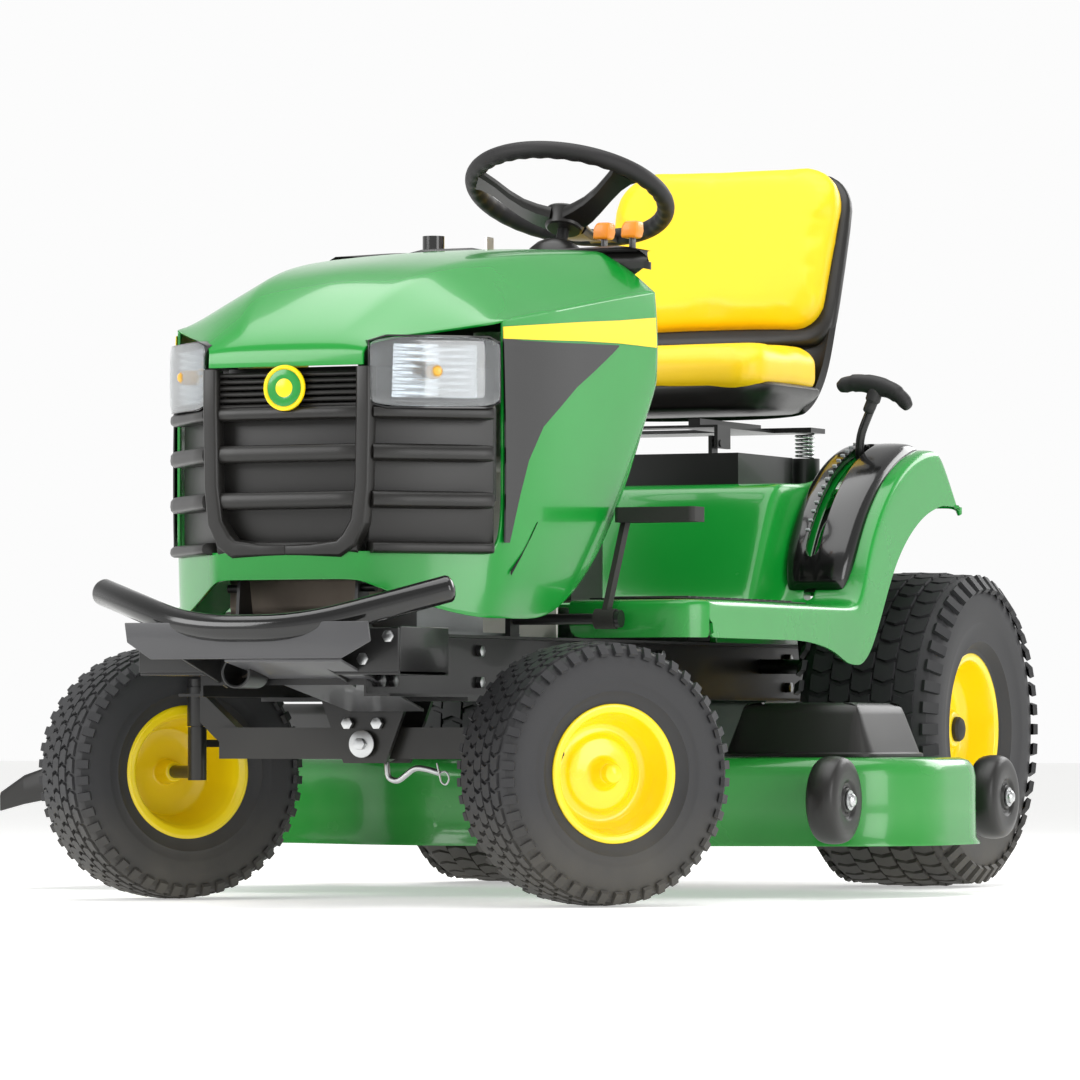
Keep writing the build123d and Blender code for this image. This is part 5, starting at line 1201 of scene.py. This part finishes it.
def tube(name, stops, material, body, node=None, radius=7.0, bend=0.0, turns=20, flat=1.0):
    """A round bar through points, with bends and a domed end; a fourth number sets the radius there."""
    line = [Vector(p[:3]) for p in stops]
    radii = [p[3] if len(p) > 3 else radius for p in stops]
    if bend:
        curved, thick = [line[0]], [radii[0]]
        for k in range(1, len(line) - 1):
            before, corner, after = line[k - 1:k + 2]
            cut = min(bend, (before - corner).length * 0.45, (after - corner).length * 0.45)
            a = corner + (before - corner).normalized() * cut
            b = corner + (after - corner).normalized() * cut
            for i in range(7):
                t = i / 6
                curved.append(a.lerp(corner, t).lerp(corner.lerp(b, t), t))
                thick.append(radii[k])
        line, radii = curved + [line[-1]], thick + [radii[-1]]
    for end, nxt in ((0, 1), (-1, -2)):
        out = (line[end] - line[nxt]).normalized()
        tip, r = line[end], radii[end]
        for share, small in ((0.45, 0.88), (0.8, 0.6), (1.0, 0.15)):
            place, size = tip + out * r * share * 0.5, r * small
            if end == 0:
                line.insert(0, place)
                radii.insert(0, size)
            else:
                line.append(place)
                radii.append(size)
    points, faces = [], []
    side = (line[1] - line[0]).orthogonal().normalized()
    for k, spot in enumerate(line):
        run = (line[min(k + 1, len(line) - 1)] - line[max(k - 1, 0)]).normalized()
        side = (side - run * side.dot(run)).normalized()
        up = run.cross(side)
        for i in range(turns):
            angle = 2 * math.pi * i / turns
            points.append(spot + side * radii[k] * math.cos(angle) + up * radii[k] * flat * math.sin(angle))
    for k in range(len(line) - 1):
        for i in range(turns):
            a, b = k * turns + i, k * turns + (i + 1) % turns
            faces.append((a, b, b + turns, a + turns))
    faces += [tuple(range(turns)), tuple(range((len(line) - 1) * turns, len(line) * turns))]
    obj = piece(name, points, faces, material, body, node)
    outward(obj.data)
    return smooth(obj, 40)


black_enamel = finish("satin_black_enamel", "#141414", "#1E1E1E", 0.34, grain_mm=2, bump_mm=0.06, coat=0.15,
                      dust=0.3,
                      dust_top_mm=300)
tube("lift_lever_rod", [(205, 515, 355), (205, 490, 470), (260, 450, 590), (350, 415, 640), (350, 390, 712),
                        (377, 388, 772)], black_enamel, "lift", "lift_lever", 7, 26)
grip_top = Matrix.Translation((381, 386, 790)) @ Matrix.Rotation(math.radians(14), 4, "Y")
arch = [(-60, 0, -8, 8), (-48, 0, 0, 11), (-30, 0, 6, 12.5), (0, 0, 9, 13.5), (30, 0, 6, 12.5), (48, 0, -2, 11),
        (60, 0, -12, 8.5)]
tube("lift_grip_bar", [(*(grip_top @ Vector(p[:3])), p[3]) for p in arch], black_rubber, "lift",
     None,
     12, 14, 24, 1.25)
neck = [(0, 0, 8, 13), (0, 0, -10, 12), (-2, 0, -24, 9.5), (-4, 0, -34, 9)]
tube("lift_grip_neck", [(*(grip_top @ Vector(p[:3])), p[3]) for p in neck], black_rubber, "lift",
     None,
     12, 8, 20)
lathe("lift_cross_shaft", [(-150, 0.4), (-150, 12), (216, 12), (216, 0.4)], 32,
      Matrix.Translation(at(0, 515, 355)),
      black_enamel, "lift", None)
for side in (-1, 1):
    slab(f"lift_arm_{side}", box_points(455, 515, 347, 363), "x", *sorted((side * 94, side * 100)),
         black_enamel, "lift",
         None, "lift_black", 2)


# Seat springs: two coils of bright wire between the platform's posts and the bracket.
def coil_tree(material):
    """Geometry Nodes: a wire wound as a coil of a given radius, height and count of turns."""
    tree = bpy.data.node_groups.new("coil", "GeometryNodeTree")
    sockets = {}
    for name in ("Radius", "Height", "Turns", "Wire"):
        sockets[name] = tree.interface.new_socket(name, in_out="INPUT", socket_type="NodeSocketFloat")
    tree.interface.new_socket("Geometry", in_out="OUTPUT", socket_type="NodeSocketGeometry")
    given = add_node(tree, "NodeGroupInput").outputs
    winding = add_node(tree, "GeometryNodeCurveSpiral", {"Resolution": 28},
                       {"Rotations": given["Turns"], "Start Radius": given["Radius"],
                        "End Radius": given["Radius"],
                        "Height": given["Height"]}).outputs[0]
    ring = add_node(tree, "GeometryNodeCurvePrimitiveCircle", {"Resolution": 10},
                    {"Radius": given["Wire"]}).outputs[0]
    wire = add_node(tree, "GeometryNodeCurveToMesh", {"Fill Caps": True},
                    {"Curve": winding, "Profile Curve": ring}).outputs[0]
    real = add_node(tree, "GeometryNodeRealizeInstances", None, {"Geometry": wire}).outputs[0]
    painted = add_node(tree, "GeometryNodeSetMaterial", {"Material": material}, {"Geometry": real}).outputs[0]
    add_node(tree, "NodeGroupOutput", None, {"Geometry": painted})
    return tree, sockets


spring_steel = finish("bright_spring_steel", "#C9CBCC", "#DADBDB", 0.25, patch_mm=20, grain_mm=1, bump_mm=0.03,
                      metallic=1.0)
coil_mesh, coil_inputs = coil_tree(spring_steel)
for side in (-1, 1):
    spring = bpy.data.objects.new(f"seat_spring_{side}", bpy.data.meshes.new("spring"))
    bpy.context.collection.objects.link(spring)
    nodes = spring.modifiers.new("coil", "NODES")
    nodes.node_group = coil_mesh
    for name, value in (("Radius", 0.0145), ("Height", 0.038), ("Turns", 6.0), ("Wire", 0.0021)):
        nodes[coil_inputs[name].identifier] = value
    baked(spring)
    spring.data.transform(Matrix.Translation(at(side * 205, 520, 692)))
    outward(spring.data)
    smooth(spring, 60)
    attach(spring, "chassis")
    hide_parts("seat_springs")


# Mower deck: one pressed steel shell in green, open below. Its wall follows the three blades, the top rolls
# over to it, and a bead runs round the lower lip. Spindle housings and covers stand on top.
DECK_PLAN = [(-620, -165), (-405, -175), (-130, -315), (130, -315), (405, -175), (572, -118), (640, -10),
             (640, 196),
             (548, 298), (-548, 298), (-620, 236)]


def round_plan(plan, radius, steps=8):
    """A closed plan with every corner rounded."""
    return rounded(plan[-1:] + plan + plan[:1], radius, steps)[1:-1]


def inset_plan(plan, distance):
    """The plan moved inwards by a distance."""
    out = []
    n = len(plan)
    for k in range(n):
        a, b, c = Vector(plan[k - 1]), Vector(plan[k]), Vector(plan[(k + 1) % n])
        if (b - a).length < 1e-6 or (c - b).length < 1e-6:
            out.append(tuple(b))
            continue
        n1 = Vector((-(b - a).normalized().y, (b - a).normalized().x))
        n2 = Vector((-(c - b).normalized().y, (c - b).normalized().x))
        out.append(tuple(b + (n1 + n2) / (1 + n1.dot(n2)) * distance))
    return out


plan = round_plan(DECK_PLAN, 95)
rings = [(inset_plan(plan, 7), 78), (plan, 78), (plan, 82), (inset_plan(plan, 5), 88),
         (inset_plan(plan, 6), 130),
         (inset_plan(plan, 6), 182), (inset_plan(plan, 9), 196), (inset_plan(plan, 17), 206),
         (inset_plan(plan, 30), 210.5),
         (inset_plan(plan, 60), 211)]
points, faces = [], []
for ring, z in rings:
    points += [(x, y, z) for x, y in ring]
n = len(plan)
for i in range(len(rings) - 1):
    for k in range(n):
        a, b = i * n + k, i * n + (k + 1) % n
        mid_x = (points[a][0] + points[b][0]) / 2
        mid_y = (points[a][1] + points[b][1]) / 2
        if not (mid_x < -600 and -130 < mid_y < 180 and points[a][2] < 190):
            faces.append((a, b, b + n, a + n))
faces.append(tuple(range((len(rings) - 1) * n, len(rings) * n)))
deck = piece("mower_deck_pressing", points, faces, green_deck, "deck", "deck_shell")
outward(deck.data)
if max(deck.data.polygons, key=lambda f: f.center.z).normal.z < 0:
    deck.data.flip_normals()
wall = deck.modifiers.new("wall", "SOLIDIFY")
wall.thickness = 0.004
wall.offset = -1
smooth(baked(deck), 40)
for x, y in ((405, 60), (5, -95), (-395, 60)):
    lathe(f"spindle_housing_{x}", [(185, 20), (185, 34), (206, 34), (212, 52), (215, 52), (217, 38), (224, 33),
                                   (224, 14), (185, 14)],
          40, Matrix.Translation(at(x, y, 0)) @ Matrix.Rotation(math.radians(-90), 4, "Y"), black_enamel,
          "deck", None)
for x in (-247, 247):
    for y in (20, 250):
        slab(f"deck_hanger_{x}_{y}", [(y - 22, 209), (y + 22, 209), (y + 14, 250), (y - 14, 250)], "x", x - 3,
             x + 3,
             green_deck, "deck", None, "deck_green", 2)

# Belt covers: black mouldings over the outer pulleys, with sloping sides, a flange and a raised middle.
for side, cx, name in ((1, 405, "left"), (-1, -395, "right")):
    foot = [(cx - side * 100, -70), (cx + side * 140, -58), (cx + side * 150, 164), (cx - side * 100, 190)]
    if side < 0:
        foot.reverse()
    foot = round_plan(foot, 34, 5)
    rings = [(inset_plan(foot, -3), 212), (inset_plan(foot, -3), 216), (inset_plan(foot, 3), 219),
             (inset_plan(foot, 25), 276),
             (inset_plan(foot, 30), 287), (inset_plan(foot, 40), 293), (inset_plan(foot, 56), 294),
             (inset_plan(foot, 59), 291), (inset_plan(foot, 64), 290.5)]
    n = len(foot)
    points, faces = [], []
    for ring, z in rings:
        points += [(x, y, z) for x, y in ring]
    for i in range(len(rings) - 1):
        for k in range(n):
            a, b = i * n + k, i * n + (k + 1) % n
            faces.append((a, b, b + n, a + n))
    faces.append(tuple(range((len(rings) - 1) * n, len(rings) * n)))
    faces.append(tuple(range(n)))
    cover = piece(f"belt_cover_{name}", points, faces, black_moulding, "deck", "deck_belt_covers")
    outward(cover.data)
    smooth(cover, 40)

# Gauge wheels: plain black rollers with a domed tread on one bolt each, in forked steel brackets.
GAUGES = {"front_left": (548, -202, -100), "rear_left": (584, 372, 282), "front_right": (-548, -302, -152),
          "rear_right": (-584, 372, 282)}
for name, (x, y, wall_y) in GAUGES.items():
    side = 1 if x > 0 else -1
    face = Matrix.Translation(at(x, y, 148)) @ Matrix.Rotation(0 if side > 0 else math.pi, 4, "Z")
    tread = rounded([(-25, 9), (-25, 50), (-20, 62), (-8, 65.5), (8, 65.5), (20, 62), (25, 50), (24, 30),
                     (19, 26), (19, 20),
                     (24, 18), (24, 9)], 6, 3)
    lathe(f"gauge_roller_{name}", tread + [tread[0]], 64, face, black_moulding, f"roller_{name}",
          f"gauge_wheel_{name}")
    bolt_dome = [(-32, 0.3), (-32, 8), (25, 8), (25, 15), (27, 15), (27, 10.5), (31, 10), (34, 7), (35.5, 0.3)]
    lathe(f"gauge_bolt_{name}", bolt_dome, 28, face, zinc, "deck", None)
    back, front_end = sorted((y + (14 if wall_y > y else -14) * -1, wall_y))
    inner = x - side * 34
    fork = [(back, 136), (back + 8, 132), (front_end, 132), (front_end, 164), (back + 8, 164),
            (back, 160)] if wall_y > y \
        else [(front_end, 136), (front_end - 8, 132), (back, 132), (back, 164), (front_end - 8, 164),
              (front_end, 160)]
    slab(f"gauge_bracket_{name}", fork, "x", inner - 3, inner + 3, black_enamel, "deck", None, "deck_green", 2)

# Discharge flap: a ribbed black moulding, hinged along the deck's right side on a spring wire.
flap_line = [(-636, 214), (-668, 212), (-730, 208), (-800, 200), (-860, 181), (-903, 154)]
flap_rows = []
for y in (-146, -143, -130, -20, 25, 70, 180, 193, 196):
    edge = 6 if y in (-146, 196) else 2 if y in (-143, 193) else 0
    flap_rows.append([(x, y, z - edge) for x, z in flap_line])
flap = Grid()
flap.add(flap_rows)
flap.add([[(x, -146, z - 6) for x, z in flap_line], [(x, -146, z - 30 - 50 * k / 5 * (5 - k) / 5 * 2) for k,
                                                     (x, z) in enumerate(flap_line)]])
flap.add([[(x, 196, z - 30 - 50 * k / 5 * (5 - k) / 5 * 2) for k, (x, z) in enumerate(flap_line)],
          [(x, 196, z - 6) for x, z in flap_line]])
flap = piece("discharge_flap", flap.points, flap.faces, black_moulding, "chute", "chute_deflector")
outward(flap.data)
wall = flap.modifiers.new("wall", "SOLIDIFY")
wall.thickness = 0.005
wall.offset = 0
softened(baked(flap), 1.5)
flap_rib = box_shape("flap_rib", 200, 4, 7, 1)
repeated("flap_ribs", flap_rib, [(-745, y, 208 + 2, 0, -8, 0) for y in (-100, -50, 0, 50, 100, 150)],
         black_moulding, "chute")
tube("flap_hinge_wire", [(-629, -158, 217), (-629, 208, 217)], zinc, "deck", None, 4)
for y in (-146, -50, 76, 176):
    tube(f"flap_knuckle_{y}", [(-629, y + 2, 217), (-629, y + 18, 217)], black_moulding, "chute",
         None, 8.6)


# Front bumper: a bent tube in glossy black on a folded grey steel bracket, over the exhaust outlet.
tube("bumper_tube", [(-274, -959, 450), (-89, -1045, 395), (89, -1045, 395), (274, -959, 450)], black_gloss,
     "chassis",
     "bumper_bar", 19.5, 70, 32)

bracket_grey = finish("satin_grey_bracket_paint", "#424244", "#4C4C4E", 0.36, patch_mm=120, grain_mm=3,
                      bump_mm=0.05, coat=0.2)
band = [(-192, 404), (192, 404), (196, 376), (150, 352), (-150, 352), (-188, 376)]
slab("bracket_apron", band, "y", -1049, -1044, bracket_grey, "chassis", "bumper_bracket", "bracket_grey", 1.5)
keel = [(-34, -1046, 352), (150, -1046, 352), (112, -700, 283), (-8, -700, 283)]
keel = piece("bracket_keel", [(x, y, z - drop) for drop in (0, 4) for x, y, z in keel],
             [(0, 1, 2, 3), (7, 6, 5, 4)] + [(k, (k + 1) % 4, 4 + (k + 1) % 4, 4 + k) for k in range(4)],
             bracket_grey, "chassis",
             None)
outward(keel.data)
softened(keel, 1.2)
for side in (-1, 1):
    web = [(-1044, 352), (-1044, 396), (-905, 396), (-905, 312)]
    slab(f"bracket_web_{side}", web, "x", *sorted((side * 100, side * 104)), black_enamel, "chassis", None,
         "frame_black", 1)
    wing = [(-975, 330), (-971, 398), (-815, 398), (-815, 330)]
    slab(f"bracket_wing_{side}", wing, "x", *sorted((side * 200, side * 206)), black_enamel, "chassis", None,
         "frame_black", 1.5)
    tie = [(side * 104, 334), (side * 104, 396), (side * 206, 396), (side * 206, 334)]
    slab(f"bracket_tie_{side}", tie, "y", -979, -973, black_enamel, "chassis", None, "frame_black", 1.5)
    foot = box_points(*sorted((side * 104, side * 206)), -975, -825)
    slab(f"bracket_foot_{side}", foot, "z", 330, 336, black_enamel, "chassis", None, "frame_black", 1.5)
outlet = Matrix.Translation(at(-40, -1000, 334)) @ Matrix.Rotation(math.radians(-90), 4, "Z")
lathe("exhaust_outlet", [(-60, 0.3), (-60, 19), (-1, 19), (0, 21), (-1, 23), (-62, 23), (-62, 0.3)], 40, outlet,
      black_enamel, "chassis", None)


# Steering wheel: a soft black rim over a steel ring, three wide dished spokes and a deep hub, all one
# moulding. The shaft under it leans back towards the seat.
grip_vinyl = finish("grained_grip_vinyl", "#161516", "#222021", 0.58, patch_mm=40, grain_mm=1.2, bump_mm=0.2)
wheel_place = Matrix.Translation((0, 7, 975)) @ Matrix.Rotation(math.radians(-22.5), 4, "X")
RIM_ABOVE, RIM_RADIUS, RIM_TUBE = 124, 152, 13.9


def wheel_piece(name, rows, closed, material):
    """Rows of points about the shaft as one closed skin of the steering wheel."""
    wide = len(rows[0])
    points = [tuple(wheel_place @ Vector(p)) for row in rows for p in row]
    faces = []
    for i in range(len(rows) - (0 if closed else 1)):
        for j in range(wide):
            a, b = i * wide + j, i * wide + (j + 1) % wide
            c, d = (i + 1) % len(rows) * wide + (j + 1) % wide, (i + 1) % len(rows) * wide + j
            faces.append((a, b, c, d))
    if not closed:
        faces += [tuple(range(wide)), tuple(range((len(rows) - 1) * wide, len(rows) * wide))]
    obj = piece(name, points, faces, material, "steering", "steering_wheel")
    outward(obj.data)
    return smooth(obj, 50)


rows = []
for k in range(216):
    around = 2 * math.pi * k / 216
    row = []
    for j in range(24):
        angle = 2 * math.pi * j / 24
        under = max(-math.sin(angle) * 0.7 - math.cos(angle) * 0.7, 0)
        tube_r = RIM_TUBE - 1.5 * under * (0.5 + 0.5 * math.cos(around * 36))
        r = RIM_RADIUS + tube_r * math.cos(angle)
        row.append((r * math.cos(around), r * math.sin(around), RIM_ABOVE + tube_r * math.sin(angle)))
    rows.append(row)
wheel_piece("steering_rim", rows, True, grip_vinyl)
for turn in (90, 210, 330):
    spin = Matrix.Rotation(math.radians(turn), 4, "Z")
    rows = []
    for r, z, half, thick in ((146, 122, 27, 9), (136, 120, 23, 9), (118, 113, 20, 9), (94, 100, 19, 9.5),
                              (70, 89, 21, 10),
                              (48, 83, 24, 11), (26, 80, 26, 12)):
        section = [(-half, 0), (-half + 3, thick * 0.8), (-half * 0.45, thick), (-half * 0.3, thick * 0.62),
                   (half * 0.3, thick * 0.62),
                   (half * 0.45, thick), (half - 3, thick * 0.8), (half, 0), (half - 4, -thick * 0.7),
                   (-half + 4, -thick * 0.7)]
        rows.append([tuple(spin @ Vector((r, w, z + h - 4))) for w, h in section])
    wheel_piece(f"steering_spoke_{turn}", rows, False, black_moulding)
hub_line = [(62, 0.3), (62, 26), (64, 29), (78, 33), (90, 34), (93, 32), (94, 26), (94.6, 14), (94.8, 0.3)]
hub = Matrix.Translation(at(0, 7, 975)) @ Matrix.Rotation(math.radians(-22.5), 4,
                                                          "X") @ Matrix.Rotation(math.radians(-90), 4, "Y")
lathe("steering_hub", hub_line, 48, hub, black_moulding, "steering", None)


# Dash: a black moulding between hood and wheel. Its top is crowned and rolls down at the sides, a raised
# panel carries the key and the blade knob, and a column housing goes down to the frame.
DASH_PLAN = [(-284, -269), (284, -269), (214, -164), (122, -9), (62, 66), (-62, 66), (-122, -9), (-214, -164)]
dash_plan = round_plan(DASH_PLAN, 16, 4)
rings = [([(max(min(x, 148), -148), max(min(y, -122), -266)) for x, y in dash_plan], z) for z in (447, 872)]
rings += [(dash_plan, 954), (dash_plan, 962), (inset_plan(dash_plan, 3), 974), (inset_plan(dash_plan, 9), 983),
          (inset_plan(dash_plan, 18), 988), (inset_plan(dash_plan, 34), 990)]
points, faces = [], []
for k, (ring, z) in enumerate(rings):
    points += [(x, y, z - (20 * min(max((abs(x) - 150) / 130, 0), 1) ** 1.5 if k > 2 else 0)) for x, y in ring]
n = len(dash_plan)
for i in range(len(rings) - 1):
    for k in range(n):
        faces.append((i * n + k, i * n + (k + 1) % n, (i + 1) * n + (k + 1) % n, (i + 1) * n + k))
faces += [tuple(range(n)), tuple(range((len(rings) - 1) * n, len(rings) * n))]
dash = piece("dash_moulding", points, faces, black_moulding, "chassis", "dash_pedestal")
outward(dash.data)
smooth(dash, 40)
panel = [(-176, 988), (-150, 993.2), (-66, 993.2), (-40, 988)]
slab("dash_control_panel", panel, "y", -165, -18, black_gloss, "chassis", None, "black_plastic", 2)
collar = [(-20, 0.3), (-20, 52), (4, 47), (16, 38), (22, 30), (24, 20), (24, 0.3)]
lathe("column_collar", collar, 48, Matrix.Translation(at(0, 7, 985)) @ Matrix.Rotation(math.radians(-22.5), 4,
                                                                                       "X")
      @ Matrix.Rotation(math.radians(-90), 4, "Y"), black_moulding, "chassis", None)


# Dash levers: a flat black stem in its slot, with a moulded orange grip. One sets the engine's speed and the
# other holds the parking brake.
lever_orange = finish("orange_lever_moulding", "#F08A12", "#FA9C2A", 0.35, patch_mm=30, grain_mm=1.5,
                      bump_mm=0.05, coat=0.2)
for body, x, y, top in (("throttle", 95, -25, 1036), ("park_brake", 200, -155, 1026)):
    grip = [(x - 15, top - 26), (x + 11, top - 26), (x + 14, top - 15), (x + 13, top), (x - 8, top),
            (x - 14, top - 9)]
    slab(f"{body}_grip", grip, "y", y - 13, y + 13, lever_orange, body, f"{body}_lever", "lever_orange", 4, 4)
    slab(f"{body}_stem", box_points(x - 2.5, x + 2.5, 975, top - 20), "y", y - 8, y + 8, black_enamel, body,
         None,
         "frame_black", 1)


# Front hardware: bright bolts hold the axle's pin and the bracket, and a bent wire hook with a spring clip
# hangs below the frame's front plate to carry the mower deck's draft rod.
hex_points = [(9.5 * math.cos(math.radians(60 * k)), y, 9.5 * math.sin(math.radians(60 * k))) for y in (-4, 4)
              for k in range(6)]
hex_faces = [tuple(range(6)), tuple(range(6, 12))] + [(k, (k + 1) % 6, 6 + (k + 1) % 6, 6 + k)
                                                      for k in range(6)]
bolt_head = loose_shape("bolt_head", hex_points, hex_faces, 1.2)
hex_spots = [(0, -684, 232, 0, 0, 0), (-24, -676, 262, 0, 0, 0), (24, -676, 262, 0, 0, 0)]
hex_spots += [(x, -977, z, 0, 0, 0) for x, z in ((150, 352), (190, 384))]
hex_spots += [(side * 136, y, z, 0, 0, 90) for side in (-1, 1) for y in (-890, -850, -560, -300, 100, 620)
              for z in (322, 368)]
repeated("frame_bolts", bolt_head, hex_spots, zinc, "chassis")
axle_bolt = Matrix.Translation(at(0, -677, 232)) @ Matrix.Rotation(math.radians(-90), 4, "Z")
lathe("axle_pin_washer", [(0, 0.3), (0, 20), (2.5, 20), (3, 19), (3, 0.3)], 40, axle_bolt, zinc, "chassis",
      None)
tube("draft_rod_hook", [(28, -652, 205), (30, -652, 182), (46, -652, 177), (74, -652, 198), (96, -652, 195),
                        (112, -652, 190)],
     zinc, "chassis", None, 4.2, 9)
tube("draft_rod_clip", [(112, -658, 204), (116, -652, 176), (124, -652, 172), (130, -652, 182),
                        (124, -652, 193), (113, -652, 190)],
     zinc, "chassis", None, 1.4, 6, 10)


# Chassis, axles, engine and drive: these keep the shapes the frame gives them, and only take their finishes.
# Pressed and welded parts are black enamel, castings are blasted aluminium, guards are moulded plastic.
cast_alloy = finish("blasted_cast_alloy", "#8B8D8E", "#A2A4A5", 0.5, patch_mm=60, grain_mm=1.5, bump_mm=0.35,
                    metallic=1.0)
hot_steel = finish("heat_tinted_steel", "#6B6259", "#8A8076", 0.45, patch_mm=45, grain_mm=2, bump_mm=0.1,
                   metallic=1.0)
blade_steel = finish("ground_blade_steel", "#7C7F82", "#97999B", 0.35, patch_mm=50, grain_mm=1.5, bump_mm=0.08,
                     metallic=1.0)
tank_plastic = finish("milky_tank_plastic", "#D9D8CF", "#E6E5DD", 0.4, patch_mm=80, grain_mm=3, bump_mm=0.08)
pedal_rubber = finish("moulded_pedal_rubber", "#181817", "#242422", 0.66, patch_mm=30, grain_mm=1.2,
                      bump_mm=0.2, dust=0.2,
                      dust_top_mm=600)
FINISHES = (
    (black_enamel, ("frame_rail_left", "frame_rail_right", "frame_crossmembers", "hitch_plate",
                    "hood_hinge_bracket",
                    "front_axle", "steering_knuckle_left", "steering_knuckle_right", "seat_platform",
                    "seat_bracket",
                    "steering_shaft")),
    (zinc, ("tie_rod", "rear_axle_left", "rear_axle_right", "ignition_key")),
    (cast_alloy, ("transaxle", "engine_block")),
    (hot_steel, ("muffler",)),
    (black_moulding, ("engine_shroud", "battery")),
    (tank_plastic, ("fuel_tank",)),
    (black_gloss, ("pto_knob",)),
    (pedal_rubber, ("brake_pedal", "forward_pedal", "reverse_pedal")),
    (blade_steel, ("blade_spindle_left", "blade_spindle_centre", "blade_spindle_right")),
)
for coat, nodes in FINISHES:
    for node in nodes:
        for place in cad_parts[node].material_slots:
            place.material = coat
